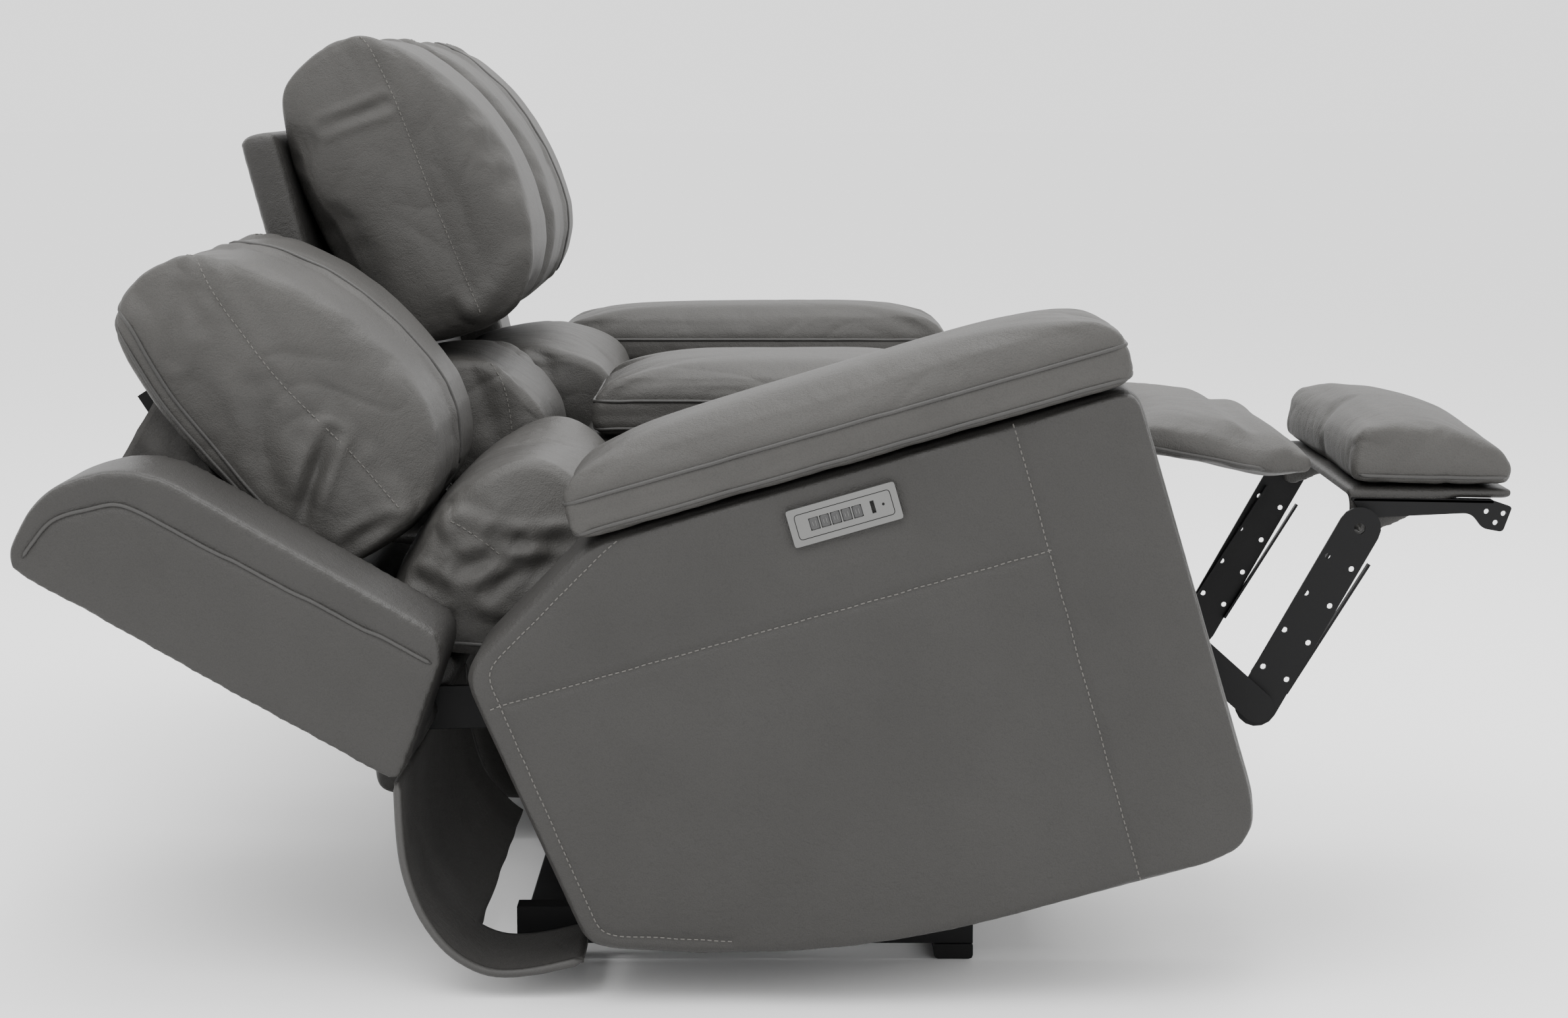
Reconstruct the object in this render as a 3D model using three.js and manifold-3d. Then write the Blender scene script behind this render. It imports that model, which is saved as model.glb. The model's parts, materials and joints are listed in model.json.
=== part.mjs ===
// Power reclining loveseat with a centre console, in millimetres, +Z up, front facing -Y.
// Every piece is drawn where it sits with the seat shut, and the pivots below then turn it
// to the pose of its seat: the seat on -X is fully reclined and the seat on +X is upright.
import * as THREE from 'three';
import { mergeVertices } from 'three/addons/utils/BufferGeometryUtils.js';
import Module from 'manifold-3d';

const wasm = await Module();
wasm.setup();

// ---- driving dimensions -------------------------------------------------------------
// Forward distances run from an origin near the middle of the base, and heights from the floor.
const gap = 0.4;
const boreClearance = 1;

const widths = {
  overall: 1940,
  console: 340,
  consoleGap: 15,
  seat: 560,
  armPad: 220,
  armBox: 193,
  armPadOverhang: 15,
  backWingSetBack: 45,
};

const floorPlane = { skid: 18, railTop: 62, baseRear: -315, baseFront: 223 };

const tiltPivot = { forward: -302, up: 150 };
const backPivot = { forward: -408, up: 330 };
const liftPivot = { forward: 167, up: 369 };
const kneePivot = { forward: -90, up: 245 };
const ottomanPivot = { forward: 150, up: 255 };
const calfPivot = { forward: 245, up: 455 };
const backFoot = { forward: -600, up: 465 };
const backLean = 14.5;
const headPivot = { forward: 150, up: 230 };

// How far each joint has moved on a fully reclined seat (millimetres, then degrees).
const reclined = { travel: 254, tilt: 16, lift: 96.4, knee: -53.8, ottoman: 30.4, calf: 63, back: 30, head: 28 };
const upright = { travel: 0, tilt: 0, lift: 0, knee: 0, ottoman: 0, calf: 0, back: 0, head: 0 };

const buttonCount = 5;

const seatHalf = widths.seat / 2;
const seatCentre = widths.console / 2 + widths.consoleGap + seatHalf;
const halfWidth = widths.overall / 2;
const armOuter = halfWidth - widths.armPadOverhang - seatCentre;
const armInner = armOuter - widths.armBox;
const padOuter = halfWidth - seatCentre;
const padInner = padOuter - widths.armPad;
const wingOuter = halfWidth - widths.backWingSetBack - seatCentre;
const wingInner = armInner + 4;

// ---- finishes -----------------------------------------------------------------------
const leather = { color: 0x5a5855, roughness: 0.55, metalness: 0 };
const leatherDark = { color: 0x46443f, roughness: 0.7, metalness: 0 };
const blackSteel = { color: 0x141414, roughness: 0.45, metalness: 0.8 };
const timber = { color: 0x8a7355, roughness: 0.8, metalness: 0 };
const blackPlastic = { color: 0x0e0e0e, roughness: 0.5, metalness: 0 };
const satinMetal = { color: 0x9b9b98, roughness: 0.35, metalness: 0.7 };
const buttonPlastic = { color: 0x2a2a2a, roughness: 0.4, metalness: 0 };

// ---- shape helpers ------------------------------------------------------------------
const radians = THREE.MathUtils.degToRad;

// The back pivot as seen from the foot of the back, along and square to the back.
const leanAngle = radians(backLean);
const pivotOffset = { forward: backPivot.forward - backFoot.forward, up: backPivot.up - backFoot.up };
const legReach = {
  forward: pivotOffset.forward * Math.cos(leanAngle) + pivotOffset.up * Math.sin(leanAngle),
  up: pivotOffset.up * Math.cos(leanAngle) - pivotOffset.forward * Math.sin(leanAngle),
};

function place(name, geometry, finish, parent) {
  const mesh = new THREE.Mesh(geometry, new THREE.MeshStandardMaterial(finish));
  mesh.name = name;
  parent.add(mesh);
  return mesh;
}

// A closed outline of [forward, up, corner radius] points.
function outline(corners) {
  const shape = new THREE.Shape();
  const points = corners.map(([f, u]) => new THREE.Vector2(f, u));
  corners.forEach(([, , radius = 0], index) => {
    const corner = points[index];
    const before = points[(index + points.length - 1) % points.length].clone().sub(corner);
    const after = points[(index + 1) % points.length].clone().sub(corner);
    const start = corner.clone().addScaledVector(before.normalize(), radius);
    const end = corner.clone().addScaledVector(after.normalize(), radius);
    if (index === 0) shape.moveTo(start.x, start.y);
    else shape.lineTo(start.x, start.y);
    if (radius > 0) shape.quadraticCurveTo(corner.x, corner.y, end.x, end.y);
  });
  shape.closePath();
  return shape;
}

// A side view outline given thickness across the seat, with rounded edges if asked for.
function sideways(shape, from, to, edge = 0, steps = 4, edgeSteps = 2) {
  const low = Math.min(from, to);
  const high = Math.max(from, to);
  const geometry = new THREE.ExtrudeGeometry(shape, {
    depth: high - low - 2 * edge,
    bevelEnabled: edge > 0,
    bevelThickness: edge,
    bevelSize: edge,
    bevelOffset: -edge,
    bevelSegments: edgeSteps,
    curveSegments: steps,
  });
  geometry.translate(0, 0, edge);
  const forward = new THREE.Vector3(0, -1, 0);
  const up = new THREE.Vector3(0, 0, 1);
  const across = new THREE.Vector3(-1, 0, 0);
  geometry.applyMatrix4(new THREE.Matrix4().makeBasis(forward, up, across));
  geometry.translate(high, 0, 0);
  return geometry;
}

function block(acrossRange, forwardRange, upRange) {
  const [a0, a1] = acrossRange[0] < acrossRange[1] ? acrossRange : [acrossRange[1], acrossRange[0]];
  const [f0, f1] = forwardRange;
  const [u0, u1] = upRange;
  const geometry = new THREE.BoxGeometry(a1 - a0, f1 - f0, u1 - u0);
  geometry.translate((a0 + a1) / 2, -(f0 + f1) / 2, (u0 + u1) / 2);
  return geometry;
}

// A round pin or bore running across the seat.
function pin(radius, acrossRange, centre, sides = 10) {
  const length = Math.abs(acrossRange[1] - acrossRange[0]);
  const geometry = new THREE.CylinderGeometry(radius, radius, length, sides);
  geometry.rotateZ(Math.PI / 2);
  geometry.translate((acrossRange[0] + acrossRange[1]) / 2, -centre.forward, centre.up);
  return geometry;
}

function solid(geometry) {
  const bare = new THREE.BufferGeometry();
  bare.setAttribute('position', geometry.getAttribute('position').clone());
  if (geometry.index) bare.setIndex(geometry.index.clone());
  const welded = mergeVertices(bare, 1e-4);
  return new wasm.Manifold(new wasm.Mesh({
    numProp: 3,
    vertProperties: new Float32Array(welded.getAttribute('position').array),
    triVerts: new Uint32Array(welded.index.array),
  }));
}

function carve(added, removed = []) {
  let body = added.map(solid).reduce((whole, next) => whole.add(next));
  body = removed.map(solid).reduce((whole, next) => whole.subtract(next), body);
  const mesh = body.getMesh();
  const geometry = new THREE.BufferGeometry();
  geometry.setAttribute('position', new THREE.BufferAttribute(mesh.vertProperties, 3));
  geometry.setIndex(new THREE.BufferAttribute(mesh.triVerts, 1));
  return geometry;
}

// A flat bar with round ends between two pivots, with a bore at each end that asks for one.
function linkPlate(start, end, halfHeight, acrossRange, bores) {
  const reach = Math.hypot(end.forward - start.forward, end.up - start.up);
  const shape = new THREE.Shape();
  shape.absarc(0, 0, halfHeight, Math.PI / 2, 1.5 * Math.PI, false);
  shape.absarc(reach, 0, halfHeight, -Math.PI / 2, Math.PI / 2, false);
  shape.closePath();
  for (const [along, height, radius] of bores) {
    const bore = new THREE.Path();
    bore.absarc(along, height, radius, 0, 2 * Math.PI, true);
    shape.holes.push(bore);
  }
  const geometry = sideways(shape, acrossRange[0], acrossRange[1], 0, 4);
  geometry.rotateX(-Math.atan2(end.up - start.up, end.forward - start.forward));
  geometry.translate(0, -start.forward, start.up);
  return geometry;
}

// A pivot across the seat: what is added to the returned group is drawn in the shut pose.
function hinge(parent, name, pivot, degrees) {
  const axle = new THREE.Group();
  axle.name = name;
  axle.position.set(0, -pivot.forward, pivot.up);
  axle.rotation.x = -radians(degrees);
  parent.add(axle);
  const shut = new THREE.Group();
  shut.position.copy(axle.position).negate();
  axle.add(shut);
  return shut;
}

// A group leaning back with the backrest, in which up runs along the back.
function leaningGroup(parent) {
  const lean = new THREE.Group();
  lean.position.set(0, -backFoot.forward, backFoot.up);
  lean.rotation.x = -radians(backLean);
  parent.add(lean);
  return lean;
}

const both = [-1, 1];

// ---- base ---------------------------------------------------------------------------
function baseRail(hand) {
  const { skid, railTop, baseRear, baseFront } = floorPlane;
  const wall = 5;
  const web = block([hand * 281, hand * 286], [baseRear, baseFront], [skid, railTop]);
  const foot = block([hand * 254, hand * 282], [baseRear, baseFront], [skid, skid + wall]);
  const lip = block([hand * 254, hand * 282], [baseRear, baseFront], [railTop - wall, railTop]);
  return carve([web, foot, lip]);
}

function skidBar(rear) {
  const foot = 46;
  const [from, to] = rear
    ? [floorPlane.baseRear, floorPlane.baseRear + foot]
    : [floorPlane.baseFront - foot, floorPlane.baseFront];
  const top = floorPlane.skid - gap;
  const shape = outline([[from, 0, 5], [to, 0, 5], [to, top, 2], [from, top, 2]]);
  return sideways(shape, -290, 290, 0, 2);
}

function travelCarriage() {
  const plate = outline([
    [-335, 66, 6], [100, 66, 6], [100, 96, 12], [-120, 104, 20], [-262, 178, 14], [-335, 178, 20],
  ]);
  const pieces = [];
  for (const hand of both) {
    pieces.push(sideways(plate, hand * 238, hand * 246));
    for (const centre of [-275, -75]) {
      pieces.push(block([hand * 238, hand * 246], [centre - 30, centre + 30], [31, 70]));
      pieces.push(block([hand * 244, hand * 257], [centre - 26, centre + 26], [33, 47]));
      pieces.push(block([hand * 256, hand * 277], [centre - 28, centre + 28], [26, 54]));
    }
    pieces.push(pin(8, [hand * 224, hand * 240], tiltPivot));
  }
  pieces.push(block([-240, 240], [-212, -188], [72, 96]));
  pieces.push(block([-240, 240], [60, 84], [70, 94]));
  return carve(pieces);
}

// ---- seat ---------------------------------------------------------------------------
function seatFrame() {
  const pieces = [];
  const bores = [];
  const rail = outline([[-436, 304, 18], [-384, 304, 8], [-372, 342, 8], [222, 342, 4], [222, 388], [-436, 388, 6]]);
  const lug = outline([[-322, 128, 12], [-282, 128, 12], [-262, 350], [-342, 350]]);
  for (const hand of both) {
    pieces.push(sideways(rail, hand * 222, hand * 234, 0, 2));
    pieces.push(sideways(lug, hand * 227, hand * 234, 0, 2));
    pieces.push(pin(6, [hand * 230, hand * 280], liftPivot));
    pieces.push(pin(8, [hand * 230, hand * 262], backPivot));
    pieces.push(pin(5, [hand * 230, hand * 256], calfPivot));
    pieces.push(block([hand * 222, hand * 234], [200, 250], [366, 388]));
    pieces.push(block([hand * 222, hand * 234], [241, 250], [370, 462]));
    bores.push(pin(8 + boreClearance, [hand * 220, hand * 240], tiltPivot));
  }
  pieces.push(block([-228, 228], [-372, 222], [380, 388]));
  pieces.push(block([-228, 228], [200, 222], [342, 384]));
  pieces.push(block([-228, 228], [-372, -350], [342, 384]));
  return carve(pieces, bores);
}

function driveMotor() {
  const tube = linkPlate({ forward: -250, up: 236 }, { forward: -56, up: 290 }, 17, [-17, 17], []);
  const motor = new THREE.CylinderGeometry(33, 33, 118, 12);
  motor.rotateX(Math.PI / 2);
  motor.translate(44, 160, 236);
  const gearbox = block([-28, 62], [-266, -206], [206, 264]);
  const hanger = block([-9, 9], [-74, -44], [290, 380 - gap]);
  return carve([tube, motor, gearbox, hanger]);
}

function armPanel(side) {
  const shape = outline([
    [-490, 119, 20], [-339, 60, 120], [-120, 24, 90], [272, 18, 70],
    [266, 559, 22], [-357, 559, 22], [-536, 457, 26],
  ]);
  return sideways(shape, side * armInner, side * armOuter, 10, 3);
}

function armPad(side) {
  const shape = outline([
    [-378, 560, 24], [268, 560, 24], [272, 652, 60], [-374, 646, 50],
  ]);
  return sideways(shape, side * padInner, side * padOuter, 13, 4, 2);
}

const plateCentre = { forward: -80, up: 511 };
const plateSize = { long: 123, tall: 42, thick: 6 };
const buttonSize = { long: 10, tall: 13, pitch: 12.2, first: -34, stroke: 1.8 };
const plateSlot = { from: 30, to: 34.5, halfTall: 7 };

function buttonForward(index) {
  return plateCentre.forward + buttonSize.first + index * buttonSize.pitch;
}

function controlPlate(side) {
  const { forward, up } = plateCentre;
  const halfLong = plateSize.long / 2;
  const halfTall = plateSize.tall / 2;
  const shape = outline([
    [forward - halfLong, up - halfTall, 3], [forward + halfLong, up - halfTall, 3],
    [forward + halfLong, up + halfTall, 3], [forward - halfLong, up + halfTall, 3],
  ]);
  const face = armOuter + gap;
  const through = [side * (face - 2), side * (face + plateSize.thick + 2)];
  const windows = [];
  for (let index = 0; index < buttonCount; index += 1) {
    const middle = buttonForward(index);
    const halfWindow = buttonSize.long / 2 + gap;
    const halfOpening = buttonSize.tall / 2 + gap;
    windows.push(block(through, [middle - halfWindow, middle + halfWindow], [up - halfOpening, up + halfOpening]));
  }
  const { from, to, halfTall: halfSlot } = plateSlot;
  windows.push(block(through, [forward + from, forward + to], [up - halfSlot, up + halfSlot]));
  return carve([sideways(shape, side * face, side * (face + plateSize.thick), 0, 2)], windows);
}

function button(side, index) {
  const forward = buttonForward(index);
  const { long, tall, stroke } = buttonSize;
  const inner = armOuter + gap + stroke + gap;
  const shape = outline([
    [forward - long / 2, plateCentre.up - tall / 2, 2], [forward + long / 2, plateCentre.up - tall / 2, 2],
    [forward + long / 2, plateCentre.up + tall / 2, 2], [forward - long / 2, plateCentre.up + tall / 2, 2],
  ]);
  return sideways(shape, side * inner, side * (armOuter + gap + plateSize.thick + 1.2), 0.8, 2, 1);
}

function seatCushion() {
  const shape = outline([
    [-300, 392, 19], [236, 392, 24], [239, 504, 56], [-100, 498, 70], [-216, 442, 40], [-300, 434, 19],
  ]);
  return sideways(shape, -274, 274, 10, 3, 1);
}

// ---- footrest -----------------------------------------------------------------------
function calfPad() {
  const { forward, up } = calfPivot;
  const shape = outline([
    [forward + 6, up - 4, 13], [forward + 6, up - 180, 13], [forward + 44, up - 180, 18],
    [forward + 52, up - 90, 60], [forward + 44, up - 4, 18],
  ]);
  return sideways(shape, -250, 250, 7, 3, 1);
}

function liftFrame() {
  const crossAt = 0.45;
  const cross = {
    forward: THREE.MathUtils.lerp(liftPivot.forward, kneePivot.forward, crossAt),
    up: THREE.MathUtils.lerp(liftPivot.up, kneePivot.up, crossAt),
  };
  const pieces = [pin(9, [-272, 272], cross)];
  for (const hand of both) {
    pieces.push(linkPlate(liftPivot, kneePivot, 19, [hand * 270, hand * 275], [[0, 0, 6 + boreClearance]]));
    pieces.push(pin(6, [hand * 256, hand * 272], kneePivot));
  }
  return carve(pieces);
}

function footrestLink(hand) {
  const reach = ottomanPivot.forward - kneePivot.forward;
  const holes = [[0, 0, 6 + boreClearance], [reach, 0, 6 + boreClearance]];
  for (let along = 44; along < reach - 30; along += 50) {
    holes.push([along, 16, 3.5]);
    holes.push([along, -16, 3.5]);
  }
  const web = linkPlate(kneePivot, ottomanPivot, 25, [hand * 260, hand * 264], holes);
  const lips = [-1, 1].map((edge) => block(
    [hand * 252, hand * 262],
    [kneePivot.forward + 30, ottomanPivot.forward - 30],
    edge < 0 ? [kneePivot.up - 25, kneePivot.up - 22] : [kneePivot.up + 22, kneePivot.up + 25],
  ));
  return carve([web, ...lips]);
}

function ottomanBoard() {
  const { forward, up } = ottomanPivot;
  const board = block([-240, 240], [forward + 34, forward + 46], [up - 182, up + 13]);
  const pieces = [board];
  const ear = outline([[forward - 14, up + 12, 10], [forward - 14, up - 14, 10], [forward + 36, up - 120], [forward + 36, up + 12]]);
  for (const hand of both) {
    pieces.push(sideways(ear, hand * 236, hand * 240, 0, 3));
    pieces.push(pin(6, [hand * 238, hand * 266], ottomanPivot));
  }
  return carve(pieces);
}

function ottomanPad() {
  const near = ottomanPivot.forward + 46.5;
  const { up } = ottomanPivot;
  const shape = outline([
    [near, up + 14, 17], [near, up - 184, 17], [near + 42, up - 188, 22],
    [near + 78, up - 110, 50], [near + 80, up + 14, 44],
  ]);
  return sideways(shape, -250, 250, 9, 3, 1);
}

// ---- back, drawn with up along the back and forward square to it --------------------
function backFrame(side) {
  const wing = outline([
    [0, 0, 14], [70, 10, 24], [172, 28, 16], [176, 430, 60], [92, 506, 50], [0, 502, 14],
  ]);
  const panel = outline([[0, 0, 4], [56, 8, 6], [56, 500, 10], [0, 502, 10]]);
  const { up, forward } = legReach;
  const leg = outline([
    [forward - 18, up - 10, 10], [forward + 18, up - 20, 14], [forward + 20, up + 24, 10], [48, 60], [10, 60], [20, 4],
  ]);
  const pieces = [
    sideways(wing, side * wingInner, side * wingOuter, 8, 3),
    sideways(panel, side * -seatHalf, side * (wingInner + 30)),
  ];
  const bores = [];
  for (const hand of both) {
    pieces.push(sideways(leg, hand * 250, hand * 256));
    pieces.push(block([hand * 279.5, hand * 284], [40, headPivot.forward + 12], [headPivot.up - 18, headPivot.up + 18]));
    bores.push(pin(8 + boreClearance, [hand * 246, hand * 260], legReach));
    bores.push(pin(5 + boreClearance, [hand * 277, hand * 290], headPivot));
  }
  return carve(pieces, bores);
}

function headrestBracket() {
  const pieces = [block([-200, 200], [64, 76], [headPivot.up - 14, headPivot.up + 250])];
  for (const hand of both) {
    pieces.push(block([hand * 200, hand * 277], [64, 76], [headPivot.up - 14, headPivot.up + 14]));
    pieces.push(block([hand * 272, hand * 277], [64, headPivot.forward + 12], [headPivot.up - 14, headPivot.up + 14]));
    pieces.push(pin(5, [hand * 274, hand * 283], headPivot));
  }
  return carve(pieces);
}

function headCushion(halfAcross, rear) {
  const shape = outline([
    [rear + 60, 168, 31], [300, 176, 45], [362, 270, 60], [330, 470, 90],
    [232, 590, 50], [150, 606, 31], [rear, 560, 40], [rear, 420, 40],
  ]);
  return sideways(shape, -halfAcross, halfAcross, 17, 3, 2);
}

function lumbarCushion(halfAcross, top, reach) {
  const shape = outline([
    [94, top, 25], [94, 60, 25], [166, -76, 25], [reach - 60, -80, 26], [reach, -24, 44],
    [reach - 2, 56, 28], [reach - 60, top - 14, 40], [reach - 150, top, 30],
  ]);
  return sideways(shape, -halfAcross, halfAcross, 13, 3, 1);
}

// The flap that closes the back of the unit under the backrest.
function rearFlap(side, isReclined) {
  const straight = [[-492, 104], [-520, 180], [-548, 262], [-572, 336]];
  const bulged = [[-500, 97], [-560, 98], [-611, 108], [-650, 146], [-668, 200], [-670, 258], [-660, 306], [-646, 338]];
  const line = new THREE.SplineCurve((isReclined ? bulged : straight).map(([f, u]) => new THREE.Vector2(f, u)));
  const thickness = 7;
  const outer = line.getPoints(isReclined ? 14 : 6);
  const inner = outer.map((point, index) => {
    const tangent = line.getTangent(index / (outer.length - 1));
    return new THREE.Vector2(point.x + tangent.y * thickness, point.y - tangent.x * thickness);
  });
  const shape = new THREE.Shape([...outer, ...inner.reverse()]);
  const baseNotch = block([-296, 296], [-602, -470], [60, 128]);
  return carve([sideways(shape, side * -(seatHalf - 2), side * (wingOuter - 6))], [baseNotch]);
}

// ---- one reclining seat -------------------------------------------------------------
function recliningSeat(prefix, side, pose) {
  const unit = new THREE.Group();
  unit.position.x = side * seatCentre;
  place(`${prefix}_outer_rail`, baseRail(side), blackSteel, unit);
  place(`${prefix}_inner_rail`, baseRail(-side), blackSteel, unit);
  place(`${prefix}_front_skid`, skidBar(false), blackPlastic, unit);
  place(`${prefix}_rear_skid`, skidBar(true), blackPlastic, unit);

  const travel = new THREE.Group();
  travel.name = `${prefix}_travel`;
  travel.position.y = -pose.travel;
  unit.add(travel);
  place(`${prefix}_travel_carriage`, travelCarriage(), blackSteel, travel);

  const seat = hinge(travel, `${prefix}_seat_tilt`, tiltPivot, pose.tilt);
  place(`${prefix}_seat_frame`, seatFrame(), blackSteel, seat);
  place(`${prefix}_drive_motor`, driveMotor(), blackPlastic, seat);
  place(`${prefix}_arm_panel`, armPanel(side), leather, seat);
  place(`${prefix}_arm_pad`, armPad(side), leather, seat);
  place(`${prefix}_control_plate`, controlPlate(side), satinMetal, seat);
  for (let index = 0; index < buttonCount; index += 1) {
    place(`${prefix}_button_${index + 1}`, button(side, index), buttonPlastic, seat);
  }
  place(`${prefix}_seat_cushion`, seatCushion(), leather, seat);

  const calf = hinge(seat, `${prefix}_calf`, calfPivot, pose.calf);
  place(`${prefix}_calf_pad`, calfPad(), leather, calf);
  const lift = hinge(seat, `${prefix}_lift`, liftPivot, pose.lift);
  const knee = hinge(lift, `${prefix}_knee`, kneePivot, pose.knee);
  place(`${prefix}_lift_frame`, liftFrame(), blackSteel, lift);
  const ottoman = hinge(knee, `${prefix}_ottoman`, ottomanPivot, pose.ottoman);
  for (const hand of both) {
    const where = hand === side ? 'outer' : 'inner';
    place(`${prefix}_${where}_footrest_link`, footrestLink(hand), blackSteel, knee);
  }
  place(`${prefix}_ottoman_board`, ottomanBoard(), timber, ottoman);
  place(`${prefix}_ottoman_pad`, ottomanPad(), leather, ottoman);

  const back = leaningGroup(hinge(seat, `${prefix}_back`, backPivot, pose.back));
  place(`${prefix}_back_frame`, backFrame(side), leather, back);
  place(`${prefix}_lumbar_cushion`, lumbarCushion(274, 118, 378), leather, back);
  const head = hinge(back, `${prefix}_head`, headPivot, -pose.head);
  place(`${prefix}_headrest_bracket`, headrestBracket(), blackSteel, head);
  place(`${prefix}_head_cushion`, headCushion(268, 84), leather, head);

  place(`${prefix}_rear_flap`, rearFlap(side, pose === reclined), leatherDark, seat);
  return unit;
}

// ---- centre console -----------------------------------------------------------------
const consoleHalf = widths.console / 2;
const lidHinge = { forward: -252, up: 556 };

function consoleBody() {
  const shape = outline([
    [-560, 60, 30], [258, 32, 50], [256, 546, 12], [-280, 546, 12], [-300, 436, 12], [-560, 420, 30],
  ]);
  const bin = block([-120, 120], [-200, 190], [330, 600]);
  return carve([sideways(shape, -consoleHalf, consoleHalf, 6)], [bin]);
}

function consoleLid() {
  const shape = outline([
    [-262, 550, 23], [254, 550, 23], [257, 640, 56], [-262, 638, 56],
  ]);
  return sideways(shape, -consoleHalf + 2, consoleHalf - 2, 12, 4, 2);
}

function consoleBackPanel() {
  const shape = outline([[0, -30, 10], [52, -30, 10], [52, 500, 12], [0, 502, 12]]);
  return sideways(shape, -consoleHalf + 1, consoleHalf - 1, 6, 3);
}

function centreConsole() {
  const unit = new THREE.Group();
  place('console_body', consoleBody(), leather, unit);
  const lid = hinge(unit, 'console_lid_hinge', lidHinge, 0);
  place('console_lid', consoleLid(), leather, lid);
  const back = leaningGroup(unit);
  place('console_back_panel', consoleBackPanel(), leather, back);
  place('console_head_cushion', headCushion(consoleHalf - 2, 54), leather, back);
  place('console_lumbar_cushion', lumbarCushion(consoleHalf - 2, 160, 306), leather, back);
  return unit;
}

// ---- the whole loveseat, standing on the floor with its box centred over the origin ---
const loveseat = new THREE.Group();
loveseat.add(recliningSeat('left', -1, reclined));
loveseat.add(recliningSeat('right', 1, upright));
loveseat.add(centreConsole());

const bounds = new THREE.Box3().setFromObject(loveseat, true);
const middle = bounds.getCenter(new THREE.Vector3());
loveseat.position.set(-middle.x, -middle.y, -bounds.min.z);

export default loveseat;
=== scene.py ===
import json
import math

import bmesh
import bpy
import numpy as np
from mathutils import Matrix, Vector, geometry, noise
from mathutils.bvhtree import BVHTree


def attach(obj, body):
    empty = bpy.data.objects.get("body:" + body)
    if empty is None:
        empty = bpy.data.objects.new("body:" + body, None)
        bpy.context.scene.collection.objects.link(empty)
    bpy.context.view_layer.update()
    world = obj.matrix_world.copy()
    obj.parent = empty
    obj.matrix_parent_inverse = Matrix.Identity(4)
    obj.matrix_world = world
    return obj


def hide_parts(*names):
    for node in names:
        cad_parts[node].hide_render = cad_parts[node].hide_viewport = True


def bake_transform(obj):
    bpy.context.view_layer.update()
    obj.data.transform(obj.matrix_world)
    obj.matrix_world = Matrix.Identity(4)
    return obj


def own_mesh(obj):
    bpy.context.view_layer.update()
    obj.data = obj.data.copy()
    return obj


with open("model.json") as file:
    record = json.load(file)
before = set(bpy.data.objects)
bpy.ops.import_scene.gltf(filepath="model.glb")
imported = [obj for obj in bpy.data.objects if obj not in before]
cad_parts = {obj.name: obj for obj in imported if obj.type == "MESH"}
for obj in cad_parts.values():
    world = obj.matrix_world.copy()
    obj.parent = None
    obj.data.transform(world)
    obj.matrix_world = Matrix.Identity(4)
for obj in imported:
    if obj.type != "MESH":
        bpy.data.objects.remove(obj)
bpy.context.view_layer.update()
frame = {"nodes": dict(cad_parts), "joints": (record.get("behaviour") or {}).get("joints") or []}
scene = bpy.context.scene
joints = {joint["name"]: joint for joint in frame["joints"]}
nodes = frame["nodes"]
print("frame loaded:", len(nodes), "nodes")

mm = 0.001
seats = {"left": -1, "right": 1}    # the side of the console each seat is on
layout = {
    "seatCentre": 465,      # middle of each seat from the middle of the console
    "originShift": 2.41,    # the drawing's origin sits this far behind the frame's
    "backFoot": (-600, 465),
    "backLean": 14.5,
    "armOuter": 490,
}


# Lines are drawn on a shut seat as (across, forward, up) in millimetres, or along the
# leaning back as (across, out from the back, up the back), then carried to the rest pose.
# The joints that turn each body come in order from the seat outwards.
turnsOf = {
    "seat": ["seat_tilt"],
    "calf": ["seat_tilt", "calf_turn"],
    "ottoman": ["seat_tilt", "lift_turn", "knee_turn", "ottoman_turn"],
    "back": ["seat_tilt", "back_recline"],
    "head": ["seat_tilt", "back_recline", "headrest_tilt"],
}


def openedBy(seat, turn):
    low, high = joints[f"{seat}_{turn}"]["range_deg"]
    if turn == "headrest_tilt":
        return low
    return -high if turn == "knee_turn" else -low


def bodyMatrix(seat, body):
    if seat == "console":
        return Matrix.Identity(4)
    turns = turnsOf[body]
    angle = sum(openedBy(seat, turn) for turn in turns)
    atRest = Vector(joints[f"{seat}_{turns[-1]}"]["pos_m"])
    whenShut = Vector(joints[f"right_{turns[-1]}"]["pos_m"])
    whenShut.x = atRest.x
    turned = Matrix.Rotation(math.radians(-angle), 4, "X")
    return Matrix.Translation(atRest) @ turned @ Matrix.Translation(-whenShut)


def spot(seat, body, across, forward, up):
    if body in ("back", "head"):
        lean = math.radians(layout["backLean"])
        out, along = forward, up
        forward = layout["backFoot"][0] + out * math.cos(lean) - along * math.sin(lean)
        up = layout["backFoot"][1] + out * math.sin(lean) + along * math.cos(lean)
    side = seats.get(seat)
    x = side * (layout["seatCentre"] + across) if side else across
    point = Vector((x, -forward - layout["originShift"], up)) * mm
    return bodyMatrix(seat, body) @ point


def line(seat, body, points, step=6):
    # a smooth run of points through the given ones, a few millimetres apart
    corners = [spot(seat, body, *point) for point in points]
    run = []
    for start, end in zip(corners[:-1], corners[1:]):
        count = max(1, round((end - start).length / (step * mm)))
        run += [start.lerp(end, index / count) for index in range(count)]
    return np.array(run + [corners[-1]])


def smoothLine(points, rounds=6, closed=False):
    run = np.array(points, float)
    for _ in range(rounds):
        if closed:
            run = (np.roll(run, 1, 0) + 2 * run + np.roll(run, -1, 0)) / 4
        else:
            run[1:-1] = (run[:-2] + 2 * run[1:-1] + run[2:]) / 4
    return run


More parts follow.
